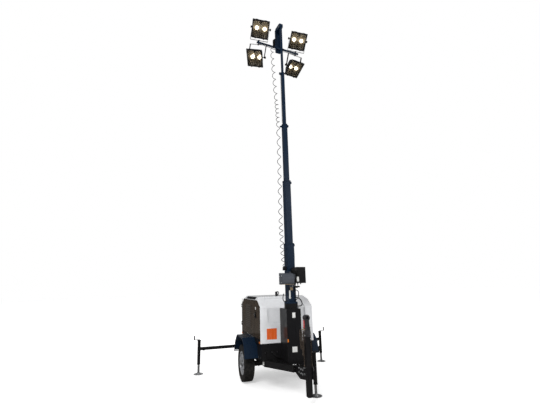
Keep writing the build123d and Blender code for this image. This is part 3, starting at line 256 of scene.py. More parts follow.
def make_materials():
    paint = bpy.context.scene.tower_colours
    return {
        "white_paint": painted("hood_white", paint.white, 0.22, dust=0.16, coat=0.5, dust_top=1.3),
        "black_paint": painted("chassis_black", paint.black, 0.34, dust=0.05, coat=0.02, shine=0.14),
        "navy_paint": painted("mast_navy", paint.navy, 0.30, 0.035, 0.04, coat=0.03, shine=0.18),
        "grey_paint": painted("winch_grey", paint.grey, 0.38, dust=0.2, coat=0.1, shine=0.35),
        "bronze_door": painted("side_bronze", paint.bronze, 0.14, 0.06, 0.03, coat=0.04, shine=0.16),
        "zinc_steel": plated("zinc", paint.zinc),
        "wheel_silver": painted("wheel_silver", (0.30, 0.31, 0.33), 0.30, dust=0.5, dust_top=0.7),
        "tyre_rubber": rubber("tyre_rubber", (0.009, 0.009, 0.0095), dust=0.22),
        "lamp_housing": painted("lamp_black", (0.010, 0.010, 0.011), 0.42, dust=0.06, coat=0.0, shine=0.2),
        "cord_rubber": rubber("cord_black", (0.012, 0.012, 0.013), 0.5, dust=0.1, grain=600.0),
        "marker_plastic": clear_plastic("amber_lens", paint.amber),
        "engine_iron": painted("engine_black", (0.03, 0.03, 0.033), 0.6, dust=0.3, coat=0.0, shine=0.2),
        "orange_vinyl": painted("orange_vinyl", paint.orange, 0.28, dust=0.12, orange_peel=0.02),
        "label_white": painted("blank_label", (0.74, 0.74, 0.72), 0.4, dust=0.2, coat=0.1, orange_peel=0.02),
        "red_lens": clear_plastic("red_lens", paint.red),
        # painted shade for the body's gaps: behind the louvres and along its seams
        "gap_shade": painted("inner_black", (0.006, 0.006, 0.006), 0.7, dust=0.1, coat=0.0),
        "tan_steel": painted("tan_steel", (0.30, 0.22, 0.13), 0.5, dust=0.3, coat=0.0),
        "dark_steel": plated("dark_steel", (0.12, 0.12, 0.13), 0.42),
        "chain_steel": plated("chain_steel", (0.20, 0.16, 0.13), 0.45),
        "reflector": bowl_metal("reflector", 1.0),
        # a darker copy of the bowl metal: painted shade for the reflector's flutes
        "reflector_dark": bowl_metal("reflector_dark", 0.16),
        "lamp_glass": pane("lamp_pane"),
        "bulb": glowing("bulb_glow", paint.glow),
    }


MATERIALS = {}


def material(slot):
    if not MATERIALS:
        MATERIALS.update(make_materials())
    return MATERIALS[slot]


# Mesh building

BOX_FACES = ((0, 1, 3, 2), (4, 6, 7, 5), (0, 4, 5, 1), (2, 3, 7, 6), (0, 2, 6, 4), (1, 5, 7, 3))


def shown(name, data):
    """A new object in the scene with this data."""
    thing = bpy.data.objects.new(name, data)
    bpy.context.scene.collection.objects.link(thing)
    return thing


def round_points(centre, across, other, radius, sides, start=0.0):
    """Points of a circle, from an angle on."""
    angles = (start + 2 * pi * step / sides for step in range(sides))
    return [Vector(centre) + (across * cos(angle) + other * sin(angle)) * radius for angle in angles]


class Form:
    """One mesh under construction, in metres, through a matrix that sets its place."""

    def __init__(self, place=None):
        self.mesh = bmesh.new()
        self.place = place or Matrix.Identity(4)

    def faces_of(self, verts, faces, smooth=False):
        made = [self.mesh.verts.new(self.place @ Vector(v)) for v in verts]
        for face in faces:
            self.mesh.faces.new([made[i] for i in face]).smooth = smooth
        return self

    def box(self, one, other):
        """A box between two opposite corners."""
        xs, ys, zs = (sorted(pair) for pair in zip(one, other))
        return self.faces_of([(x, y, z) for x in xs for y in ys for z in zs], BOX_FACES)

    def prism(self, outline, axis, start, end):
        """An outline of two coordinates, drawn out along axis 0, 1 or 2."""
        count = len(outline)
        verts = [(*p[:axis], level, *p[axis:]) for level in (start, end) for p in outline]
        faces = [tuple(range(count)), tuple(range(count, 2 * count))]
        faces += [(i, (i + 1) % count, (i + 1) % count + count, i + count) for i in range(count)]
        return self.faces_of(verts, faces)

    def skin(self, rings, closed=False, smooth=True):
        """Faces between rings of points; the last ring joins the first, or both ends are capped."""
        sides, count = len(rings[0]), len(rings)
        faces = []
        for ring in range(count if closed else count - 1):
            first, second = ring * sides, (ring + 1) % count * sides
            for step in range(sides):
                after = (step + 1) % sides
                faces.append((first + step, first + after, second + after, second + step))
        if not closed:
            faces += [tuple(range(end, end + sides)) for end in (0, (count - 1) * sides)]
        return self.faces_of([point for ring in rings for point in ring], faces, smooth)

    def turned(self, profile, start, direction, sides=24, smooth=True, closed=False):
        """A lathe form: (distance along, radius) pairs from start in a direction."""
        direction = Vector(direction).normalized()
        across = direction.orthogonal().normalized()
        other = direction.cross(across)
        rings = [round_points(Vector(start) + direction * along, across, other, radius, sides)
                 for along, radius in profile]
        return self.skin(rings, closed, smooth)

    def rod(self, start, end, radius, sides=16, chamfer=0.0):
        """A round bar, with its end edges cut off by a chamfer."""
        run = (Vector(end) - Vector(start)).length
        edge = min(chamfer, run / 3, radius / 2)
        profile = [(0, radius), (run, radius)]
        if edge > 0:
            profile = [(0, radius - edge), (edge, radius), (run - edge, radius), (run, radius - edge)]
        return self.turned(profile, start, Vector(end) - Vector(start), sides)

    def tube(self, points, radius, sides=8, closed=False):
        """A round tube that follows points."""
        points = [Vector(p) for p in points]
        last = len(points) - 1
        rings, across = [], None
        for index, point in enumerate(points):
            if closed:
                heading = points[(index + 1) % (last + 1)] - points[index - 1]
            else:
                heading = points[min(index + 1, last)] - points[max(index - 1, 0)]
            heading.normalize()
            across = heading.orthogonal() if across is None else across - heading * across.dot(heading)
            across.normalize()
            rings.append(round_points(point, across, heading.cross(across), radius, sides))
        return self.skin(rings, closed)

    def piece(self, name, body, slot, bevel=0.0, sharp=40.0):
        """Closes the form as an object that rides on a body."""
        bmesh.ops.remove_doubles(self.mesh, verts=self.mesh.verts, dist=1e-6)
        piece = shown(name, self.closed(name, sharp))
        piece.data.materials.append(material(slot))
        if bevel > 0:
            rounding = piece.modifiers.new("edges", "BEVEL")
            rounding.width = bevel
            rounding.segments = 2
            rounding.angle_limit = radians(sharp)
            rounding.use_clamp_overlap = True
        return dressed(piece, body)

    def closed(self, name, sharp):
        """The form as mesh data, with its normals outwards."""
        bmesh.ops.recalc_face_normals(self.mesh, faces=self.mesh.faces)
        data = bpy.data.meshes.new(name)
        self.mesh.to_mesh(data)
        self.mesh.free()
        data.set_sharp_from_angle(angle=radians(sharp))
        return data


def dressed(piece, body):
    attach(piece, body)
    return piece


def repeat_tree():
    """Geometry Nodes: a piece on every point, its Z along 'aim' and its X along 'along'."""
    tree = bpy.data.node_groups.new("repeat on points", "GeometryNodeTree")
    kinds = {"Geometry": "Geometry", "Piece": "Object", "Size": "Float", "Material": "Material"}
    for name, kind in kinds.items():
        tree.interface.new_socket(name, in_out="INPUT", socket_type="NodeSocket" + kind)
    tree.interface.new_socket("Geometry", in_out="OUTPUT", socket_type="NodeSocketGeometry")

    def add(kind, **values):
        node = tree.nodes.new(kind)
        for name, value in values.items():
            if isinstance(value, bpy.types.NodeSocket):
                tree.links.new(value, node.inputs[name])
            else:
                node.inputs[name].default_value = value
        return node

    source = add("NodeGroupInput").outputs
    rotation = {}
    for attribute, axis in (("aim", "Z"), ("along", "X")):
        read = add("GeometryNodeInputNamedAttribute", Name=attribute)
        read.data_type = "FLOAT_VECTOR"
        align = add("FunctionNodeAlignRotationToVector", Vector=read.outputs["Attribute"], **rotation)
        align.axis = axis
        if rotation:
            align.pivot_axis = "Z"
        rotation = {"Rotation": align.outputs["Rotation"]}
    model = add("GeometryNodeObjectInfo", Object=source["Piece"]).outputs["Geometry"]
    points = add("GeometryNodeInstanceOnPoints", Points=source["Geometry"], Instance=model,
                 Scale=source["Size"], **rotation)
    realized = add("GeometryNodeRealizeInstances", Geometry=points.outputs["Instances"]).outputs["Geometry"]
    paint = add("GeometryNodeSetMaterial", Geometry=realized, Material=source["Material"])
    add("NodeGroupOutput", Geometry=paint.outputs["Geometry"])
    return tree


def repeated(name, body, slot, model, places):
    """Copies of a small form at (point, aim, along) places, as one plain mesh."""
    pattern = shown(name + "_model", model.closed(name + "_model", 40.0))
    spots = bpy.data.meshes.new(name + "_spots")
    spots.from_pydata([tuple(place[0]) for place in places], [], [])
    for index, attribute in ((1, "aim"), (2, "along")):
        layer = spots.attributes.new(attribute, "FLOAT_VECTOR", "POINT")
        for number, place in enumerate(places):
            layer.data[number].vector = tuple(place[index])
    holder = shown(name + "_spots", spots)
    tree = bpy.data.node_groups.get("repeat on points") or repeat_tree()
    nodes = holder.modifiers.new("repeat", "NODES")
    nodes.node_group = tree
    values = {"Piece": pattern, "Size": 1.0, "Material": material(slot)}
    for item in tree.interface.items_tree:
        if item.in_out == "INPUT" and item.name in values:
            nodes[item.identifier] = values[item.name]
    graph = bpy.context.evaluated_depsgraph_get()
    graph.update()
    data = bpy.data.meshes.new_from_object(holder.evaluated_get(graph), depsgraph=graph)
    data.name = name
    for thing in (pattern, holder):
        bpy.data.objects.remove(thing)
    return dressed(shown(name, data), body)


def bolts(name, body, places, radius=None, height=None, slot="zinc_steel"):
    """Hexagon heads with a chamfered top on their washers, at (point, aim) places."""
    radius = radius or sizes().bolt_head
    height = height or radius * 0.75
    head = Form().turned([(-0.0005, radius * 1.35), (0.0016, radius * 1.35)], (0, 0, 0), UP, 16)
    head.turned([(0.0, radius), (height * 0.75, radius), (height, radius * 0.84)], (0, 0, 0), UP, 6, False)
    full = []
    for point, aim in places:
        aim = Vector(aim).normalized()
        full.append((Vector(point), aim, aim.orthogonal().normalized()))
    return repeated(name, body, slot, head, full)


def smooth_path(points, per_run=8):
    """Points along a NURBS curve with these control points."""
    curve = bpy.data.curves.new("path", "CURVE")
    curve.dimensions = "3D"
    spline = curve.splines.new("NURBS")
    spline.points.add(len(points) - 1)
    for point, place in zip(spline.points, points):
        point.co = (*place, 1.0)
    spline.order_u = 3
    spline.use_endpoint_u = True
    spline.resolution_u = per_run
    holder = shown("path", curve)
    read = [vertex.co.copy() for vertex in bpy.data.meshes.new_from_object(holder).vertices]
    bpy.data.objects.remove(holder)
    return read


# Places

def low(node):
    return Vector(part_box(node)[0])


def high(node):
    return Vector(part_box(node)[1])


def on(place, point, aim):
    """A point and an aim, moved from a place's own frame to the shared one."""
    return place @ Vector(point), place.to_3x3() @ Vector(aim)


def ring_of(centre, axis, radius, count, start=0.0):
    """Points and aims of a bolt circle."""
    axis = Vector(axis)
    across = axis.orthogonal().normalized()
    return [(point, axis) for point in round_points(centre, across, axis.cross(across), radius, count, start)]


def row_of(start, end, count, aim):
    start, end = Vector(start), Vector(end)
    return [(start.lerp(end, number / (count - 1)), aim) for number in range(count)]


def square(outer, inner, reach):
    """The four bars of a square frame, as their lows and highs in two coordinates."""
    return ((-outer, outer, inner, outer), (-outer, outer, -outer, -inner), (-outer, -inner, -reach, reach),
            (inner, outer, -reach, reach))


def yoke_frame(name):
    """Matrix from a stirrup's own frame (tilting axis along X, its stud's axis along Z) to its place."""
    tilt, turn = JOINTS[f"lamp_{name}_tilt"], JOINTS[f"yoke_{name}_turn"]
    across, up = Vector(tilt["axis"]).normalized(), Vector(turn["axis"]).normalized()
    facing = Matrix((across, up.cross(across), up)).transposed().to_4x4()
    return Matrix.Translation(tilt["pos_m"]) @ facing


def lamp_frame(name):
    """Matrix from a lamp's own frame, its face towards -Y, to its place at rest."""
    rest = -JOINTS[f"lamp_{name}_tilt"]["range_deg"][0]
    return yoke_frame(name) @ Matrix.Rotation(radians(rest), 4, "X")


def label(name, body, one, other, aim, slot="label_white", depth=0.0008, place=None):
    """A thin blank plate on a flat surface, given by two corners on it."""
    Form(place).box(one, Vector(other) + Vector(aim) * depth).piece(name, body, slot, 0.0003)


class TOWER_OT_finishes(bpy.types.Operator):
    """Give every node of the frame its finish"""
    bl_idname = "tower.finishes"
    bl_label = "Finishes"

    def execute(self, context):
        slots = {row["node"]: row["material_slot"] for row in frame["record"]["subparts"]}
        slots["coupler"] = "dark_steel"
        for node, thing in frame["nodes"].items():
            thing.data.materials.clear()
            thing.data.materials.append(material(slots[node]))
        return {"FINISHED"}


LAMP_HALF = 0.175
LAMP_FRONT, LAMP_REAR = -0.085, 0.085
LAMP_TAIL_HALF = 0.110
BULB_X, BULB_Y, BULB_R = 0.082, -0.012, 0.036
BOWL_FLOOR, BOWL_DEPTH = 0.034, 0.112
BOWL_HALF = (0.086, 0.166)
BOWL_POWER = 2.6          # how square the bowls are
FLUTE_SHADE_FROM = 0.052         # distance from a bulb where the painted shade on every other flute begins


def bowl_height(x, z):
    """Depth of the fluted double reflector at a place of the lamp's face."""
    x -= BULB_X if x > 0 else -BULB_X
    across, up = abs(x / BOWL_HALF[0]) ** BOWL_POWER, abs(z / BOWL_HALF[1]) ** BOWL_POWER
    radius = min((across + up) ** (1 / BOWL_POWER), 1.0)
    flute = sizes().flute_depth * cos(sizes().flutes * atan2(z, x)) * min(1.0, radius * 1.6)
    return BOWL_FLOOR - BOWL_DEPTH * radius ** 1.8 - flute


def reflector(name):
    """Bright fluted bowls behind a lamp's two bulbs, with painted shade on every other flute away from the
    bulbs.
    """
    columns, rows, reach = 96, 64, LAMP_HALF - 0.010

    def spot(column, row):
        return reach * (2 * column / columns - 1), reach * (2 * row / rows - 1)

    verts, faces, dark = [], [], []
    for row in range(rows + 1):
        for column in range(columns + 1):
            x, z = spot(column, row)
            verts.append((x, bowl_height(x, z), z))
    for row in range(rows):
        for column in range(columns):
            first = row * (columns + 1) + column
            faces.append((first, first + 1, first + columns + 2, first + columns + 1))
            x, z = spot(column + 0.5, row + 0.5)
            x -= BULB_X if x > 0 else -BULB_X
            # the dark slot is painted shade on every other flute, away from the bulb
            dark.append(int(hypot(x, z) > FLUTE_SHADE_FROM and cos(sizes().flutes * atan2(z, x)) < -0.1))
    form = Form(lamp_frame(name)).faces_of(verts, faces, True)
    data = bpy.data.meshes.new("reflector_" + name)
    form.mesh.to_mesh(data)
    form.mesh.free()
    for slot in ("reflector", "reflector_dark"):
        data.materials.append(material(slot))
    data.polygons.foreach_set("material_index", dark)
    piece = shown("reflector_" + name, data)
    piece.modifiers.new("sheet", "SOLIDIFY").thickness = 0.0012
    return dressed(piece, f"lamp_{name}")


class TOWER_OT_lamps(bpy.types.Operator):
    """Reflectors, bulbs, rims, cooling ribs, gear boxes and knobs of the four floodlights"""
    bl_idname = "tower.lamps"
    bl_label = "Floodlights"

    def execute(self, context):
        for name in ("upper_left", "lower_left", "upper_right", "lower_right"):
            reflector(name)
            self.lamp(name, f"lamp_{name}", lamp_frame(name))
            self.stirrup(name, yoke_frame(name))
        return {"FINISHED"}

    def lamp(self, name, body, place):
        turns = (pi * step / 10 for step in range(11))
        ball = [(BULB_R * (1 - cos(angle)), BULB_R * sin(angle) + 1e-4) for angle in turns]
        bulbs = Form(place)
        for x in (-BULB_X, BULB_X):
            bulbs.turned(ball, (x, BULB_Y + BULB_R, 0), FORE)
        bulbs.piece("bulbs_" + name, body, "bulb")
        # folded door frame round the pane, with its corner clamps and hinge
        outer, inner, wall = LAMP_HALF + 0.004, LAMP_HALF - 0.020, 0.003
        face, back = LAMP_FRONT - 0.0095, LAMP_FRONT + 0.014
        rim = Form(place)
        for x0, x1, z0, z1 in square(outer, inner, inner):
            rim.box((x0, face, z0), (x1, face + wall, z1))
        for x0, x1, z0, z1 in square(outer, outer - wall, outer):
            rim.box((x0, face + wall, z0), (x1, back, z1))
        pin_y, pin_z = face + 0.008, outer + 0.004
        for x in (-0.09, 0.09):
            rim.rod((x - 0.025, pin_y, pin_z), (x + 0.025, pin_y, pin_z), 0.005, 10)
            rim.box((x - 0.014, face - 0.001, -outer - 0.009), (x + 0.014, back + 0.016, -outer))
        rim.piece("rim_" + name, body, "lamp_housing", 0.0012)
        slope = (LAMP_HALF - LAMP_TAIL_HALF) / (LAMP_REAR - LAMP_FRONT)
        rib = Form().prism([(0.0, -0.006), (0.0, 0.0), (0.135, 0.0), (0.135, -0.006), (0.12, 0.012),
                            (0.015, 0.012)], 1, -0.0013, 0.0013)
        fins, facing = [], place.to_3x3()
        for number in range(9):
            for sign in (-1, 1):
                spot = (-0.088 + 0.022 * number, LAMP_FRONT + 0.022, sign * (LAMP_HALF - 0.022 * slope))
                aim, along = (Vector(way).normalized() for way in ((0, slope, sign), (0, 1, -sign * slope)))
                fins.append((place @ Vector(spot), facing @ aim, facing @ along))
        repeated("ribs_" + name, body, "lamp_housing", rib, fins)
        tail = LAMP_REAR + 0.028
        box = Form(place).box((-0.085, LAMP_REAR, -0.06), (0.085, tail, 0.06))
        box.rod((0, LAMP_REAR + 0.014, -0.06), (0, LAMP_REAR + 0.014, -0.082), 0.011, 12, 0.002)
        box.piece("gear_box_" + name, body, "lamp_housing", 0.004)
        spots = [on(place, (x, tail, z), BACK) for x in (-0.074, 0.074) for z in (-0.049, 0.049)]
        for x in (-0.165, 0.165):
            spots += [on(place, (x, face, z), FORE) for z in (-0.165, -0.055, 0.055, 0.165)]
        bolts("lamp_screws_" + name, body, spots, 0.0045, 0.003)

    def stirrup(self, name, place):
        """Knobs on the stirrup's ends and the stud's nut."""
        knobs = Form(place)
        for side in (-1, 1):
            knobs.turned([(0, 0.020), (0.004, 0.024), (0.018, 0.024), (0.022, 0.018)],
                         (side * (LAMP_HALF + 0.020), 0, 0), (side, 0, 0), 10)
        knobs.piece("knobs_" + name, f"lamp_{name}", "lamp_housing", 0.001)
        level = 1 if name.startswith("upper") else -1
        bolts("stud_nut_" + name, f"yoke_{name}", [(place @ Vector((0, 0, -level * 0.2465)), (0, 0, level))],
              0.017, 0.012)


class TOWER_OT_mast_head(bpy.types.Operator):
    """Bolts, junction box, lamp leads and bar ends of the mast head"""
    bl_idname = "tower.mast_head"
    bl_label = "Mast head"

    def execute(self, context):
        bar_z, y, lean = 6.735, 0.160, radians(27.6)
        glands = (-0.045, -0.015, 0.015, 0.045)
        ends = Form(MAST_FRAME @ Matrix.Translation((0, y, bar_z)) @ Matrix.Rotation(lean, 4, "X"))
        for side in (-1, 1):
            ends.box((side * 0.490, -0.019, -0.019), (side * 0.4975, 0.019, 0.019))
            ends.box((side * 0.10, -0.0235, -0.0235), (side * 0.13, 0.0235, 0.0235))
        ends.piece("bar_ends", "mast_5", "black_paint", 0.0015)
        box = Form(MAST_FRAME).box((-0.075, y + 0.0255, 6.84), (0.075, y + 0.085, 6.98))
        box.box((-0.079, y + 0.072, 6.836), (0.079, y + 0.092, 6.984))
        for x in glands:
            box.rod((x, y + 0.055, 6.836), (x, y + 0.055, 6.812), 0.010, 10, 0.002)
        box.piece("junction_box", "mast_5", "black_paint", 0.003)
        spots = []
        for z in (6.66, 6.81, 7.02, 7.08):
            spots += [on(MAST_FRAME, (x, y + 0.025, z), BACK) for x in (-0.034, 0.034)]
        for z in (7.150, 7.175):
            spots += [on(MAST_FRAME, (side * 0.040, 0.01, z), (side, 0, 0)) for side in (-1, 1)]
        bolts("head_bolts", "mast_5", spots, 0.008)
        leads = Form(MAST_FRAME)
        for x, side, reach in zip(glands, (-1, -1, 1, 1), (-0.455, -0.405, 0.455, 0.405)):
            route = [(x, y + 0.055, 6.815), (x, y + 0.056, 6.76), (x + side * 0.02, y + 0.035, 6.70),
                     (side * 0.16, y + 0.005, 6.700), (side * 0.28, y - 0.002, 6.694), (reach, y, 6.707)]
            leads.tube(smooth_path(route), sizes().lead_wire / 2)
        leads.piece("bar_leads", "mast_5", "cord_rubber")
        return {"FINISHED"}


class TOWER_OT_mast(bpy.types.Operator):
    """Pad screws, lips and hoist ropes of the mast sections"""
    bl_idname = "tower.mast"
    bl_label = "Mast sections"

    # ropes between the sections: body, the slide that shortens it, place in X, top and foot
    ropes = (("mast_base", "mast_2_slide", 0.080, 3.63, 2.47), ("mast_2", "mast_3_slide", 0.064, 4.80, 3.68),
             ("mast_3", "mast_4_slide", -0.052, 5.99, 4.87))

    def execute(self, context):
        bodies = ("mast_base", "mast_2", "mast_3", "mast_4")
        for number, (body, half) in enumerate(zip(bodies, (0.070, 0.057, 0.042, 0.029)), 1):
            top = high(f"mast_section_{number}").z
            spots, levels = [], (top - 0.035, top - 0.105)
            for z in levels:
                for x in (-half * 0.55, half * 0.55):
                    spots += [on(MAST_FRAME, (x, side * half, z), (0, side, 0)) for side in (-1, 1)]
            for z in levels:
                spots += [on(MAST_FRAME, (side * half, -half * 0.5, z), (side, 0, 0)) for side in (-1, 1)]
            bolts(f"pad_screws_{number}", body, spots, 0.0065, 0.004, "navy_paint")
            band = Form(MAST_FRAME)
            rear, front, left, right = square(half + 0.003, half - 0.0001, half + 0.003)
            for x0, x1, y0, y1 in (front, rear, left, right):
                band.box((x0, y0, top - 0.022), (x1, y1, top - 0.002))
            band.piece(f"section_lip_{number}", body, "navy_paint", 0.001)
        radius = sizes().hoist_wire / 2
        route = [(0.088, 0.0, 2.46), (0.106, 0, 2.44), (0.110, 0, 2.23), (0.088, -0.02, 1.94),
                 (0.04, -0.10, 1.86)]
        Form(MAST_FRAME).tube(route, radius, 6).piece("hoist_rope_low", "mast_base", "dark_steel")
        for number, (body, slide, x, top, foot) in enumerate(self.ropes, 2):
            route = [(x, 0, top), (x + 0.001, 0, (top + foot) / 2), (x, 0, foot)]
            rope = Form(MAST_FRAME).tube(route, radius, 6).piece(f"hoist_rope_{number}", body, "dark_steel")
            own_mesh(rope)
        return {"FINISHED"}


class TOWER_OT_mast_cord(bpy.types.Operator):
    """The curly cord from the mast's foot to the crossbar"""
    bl_idname = "tower.mast_cord"
    bl_label = "Curly cord"

    # the control points of the coil's middle line, in the mast's own frame
    route = ((-0.150, 0.160, 6.7065), (-0.158, 0.084, 5.900), (-0.127, 0.022, 4.990), (-0.131, 0.018, 4.200),
             (-0.143, 0.014, 3.300), (-0.146, 0.012, 2.560), (-0.116, 0.002, 2.050))
    # height where each stretch of the coil begins, and the rise of one turn there
    pitches = ((6.72, 0.178), (5.50, 0.172), (5.34, 0.094), (4.90, 0.100), (4.76, 0.205), (3.05, 0.195),
               (2.75, 0.105), (2.45, 0.125), (2.10, 0.110))
    turn_steps = 16
    taper_run = 0.06          # length over which the coil opens at each end

    def pitch(self, z):
        rows = self.pitches
        for (z_high, first), (z_low, second) in zip(rows, rows[1:]):
            if z_low <= z <= z_high:
                return first + (second - first) * (z_high - z) / (z_high - z_low)
        return rows[-1][1] if z < rows[-1][0] else rows[0][1]

    def execute(self, context):
        middle = smooth_path([MAST_FRAME @ Vector(point) for point in self.route], 24)
        across = (middle[1] - middle[0]).orthogonal().normalized()
        total = sum((b - a).length for a, b in zip(middle, middle[1:]))
        turn, points, done = 0.0, [], 0.0
        for start, end in zip(middle, middle[1:]):
            run, heading = (end - start).length, (end - start).normalized()
            across = (across - heading * across.dot(heading)).normalized()
            other = heading.cross(across)
            count = max(1, ceil(run / self.pitch(start.z) * self.turn_steps))
            for share in (step / count for step in range(count)):
                here = done + run * share
                taper = max(0.0, min(1.0, here / self.taper_run, (total - here) / self.taper_run))
                radius = sizes().cord_coil * (0.15 + 0.85 * taper) * (1 + 0.05 * sin(turn * 0.37))
                points.append(start.lerp(end, share) + (across * cos(turn) + other * sin(turn)) * radius)
                turn += 2 * pi * run / count / self.pitch(start.z)
            done += run
        points.append(middle[-1])
        piece = Form().tube(points, sizes().cord_wire / 2, 7).piece("curly_cord", "mast_base", "cord_rubber")
        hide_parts("mast_cord")
        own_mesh(piece)
        gland = Form(MAST_FRAME).box((-0.132, -0.020, 1.985), (-0.0705, 0.024, 2.045))
        gland.rod((-0.116, 0.002, 2.040), (-0.116, 0.002, 2.062), 0.0095, 12, 0.002)
        gland.piece("cord_gland", "mast_base", "black_paint", 0.002)
        return {"FINISHED"}


class TOWER_OT_stage(bpy.types.Operator):
    """Pale floor, soft light and the photograph's camera"""
    bl_idname = "tower.stage"
    bl_label = "Stage"

    # camera fitted to the photograph: metres from the mast's foot, degrees, pixels of a 540 wide frame
    eye = (-2.132, -5.752, 1.755)
    heading, rise, lean = 17.297, 13.724, -1.415
    focal_pixels, frame_pixels = 333.763, 540.0
    # place, width and power of each lamp
    lights = {"key": ((-5.5, -7.5, 9.0), 5.0, 620.0), "fill": ((7.0, -6.0, 5.0), 6.0, 150.0),
              "back": ((1.0, 9.0, 8.0), 6.0, 240.0)}
    lights_aim = Vector((0, 0, 2.0))
    floor_reach = 60.0
    sky_level, sky_seen, sky_dimming = 0.62, 1.0, 0.42

    def execute(self, context):
        heading, rise, lean = (radians(value) for value in (self.heading, self.rise, self.lean))
        ahead = Vector((sin(heading) * cos(rise), cos(heading) * cos(rise), sin(rise)))
        right = Vector((cos(heading), -sin(heading), 0))
        up = right.cross(ahead)
        turn = Matrix((right * cos(lean) + up * sin(lean), up * cos(lean) - right * sin(lean), -ahead))
        data = bpy.data.cameras.new("camera")
        data.sensor_width = 36.0
        data.lens = data.sensor_width * self.focal_pixels / self.frame_pixels
        data.clip_end = 200.0
        camera = shown("camera", data)
        eye = Vector(self.eye) + Vector((0, MAST.y, 0))
        camera.matrix_world = Matrix.Translation(eye) @ turn.transposed().to_4x4()
        context.scene.camera = camera
        self.floor()
        self.sky()
        for name, (place, side, power) in self.lights.items():
            data = bpy.data.lights.new(name, "AREA")
            data.shape, data.size, data.energy = "DISK", side, power
            aim = (self.lights_aim - Vector(place)).to_track_quat("-Z", "Y").to_matrix().to_4x4()
            shown(name, data).matrix_world = Matrix.Translation(place) @ aim
        context.scene.view_settings.view_transform = "Standard"
        return {"FINISHED"}

    def floor(self):
        """Pale matt floor that glows a little to the camera and is dark in reflections."""
        reach = self.floor_reach
        data = bpy.data.meshes.new("floor")
        data.from_pydata([(-reach, -reach, 0), (reach, -reach, 0), (reach, reach, 0), (-reach, reach, 0)], [],
                         [(0, 1, 2, 3)])
        pale = Shader("floor_pale").set(Roughness=0.9, Specular_IOR_Level=0.1)
        ray = pale.add("LightPath").outputs
        bright = pale.mix(pale.span(pale.noise(4.0), 0.3, 0.7), (0.90, 0.90, 0.90), (0.94, 0.94, 0.94))
        pale.set(Base_Color=pale.mix(ray["Is Glossy Ray"], bright, (0.16, 0.15, 0.14)))
        glow = pale.add("Emission", Strength=pale.math("MULTIPLY", ray["Is Camera Ray"], 0.45))
        join = pale.add("AddShader")
        for socket, part in zip(join.inputs, (pale.surface.outputs["BSDF"], glow.outputs["Emission"])):
            pale.feed(socket, part)
        pale.feed(pale.nodes["Material Output"].inputs["Surface"], join.outputs["Shader"])
        data.materials.append(pale.block)
        shown("floor", data)

    def sky(self):
        """White to the camera and through glass, dimmer as light, dimmer still in reflections."""
        sky = Shader("sky", True).set(Color=(1.0, 1.0, 1.0, 1.0))
        ray = sky.add("LightPath").outputs
        seen = sky.math("MAXIMUM", ray["Is Camera Ray"], ray["Is Transmission Ray"])
        level = sky.span(seen, 0.0, 1.0, self.sky_level, self.sky_seen)
        dimming = sky.math("MULTIPLY", ray["Is Glossy Ray"], self.sky_dimming)
        sky.set(Strength=sky.math("SUBTRACT", level, dimming))
        bpy.context.scene.world = sky.block


# Sizes of the body, read from its nodes

FRONT_Y, REAR_Y = low("hood_front").y, high("hood_rear").y
HALF = high("roof").x
ROOF_TOP, ROOF_EDGE = high("roof").z, 1.468
CHAMFER = 0.052           # how far the roof's chamfer runs inwards
DOOR_LOW, DOOR_HIGH = low("door_left").z, high("side_post_left").z
SEAM_Y = high("side_post_left").y
WHEEL = (low("tyre_left") + high("tyre_left")) / 2
TYRE_R = (high("tyre_left").z - low("tyre_left").z) / 2
WHEEL_X = abs(WHEEL.x)
AXLE = Vector((0, WHEEL.y, TYRE_R))
DRAWBAR_Y = (low("drawbar").y + high("drawbar").y) / 2


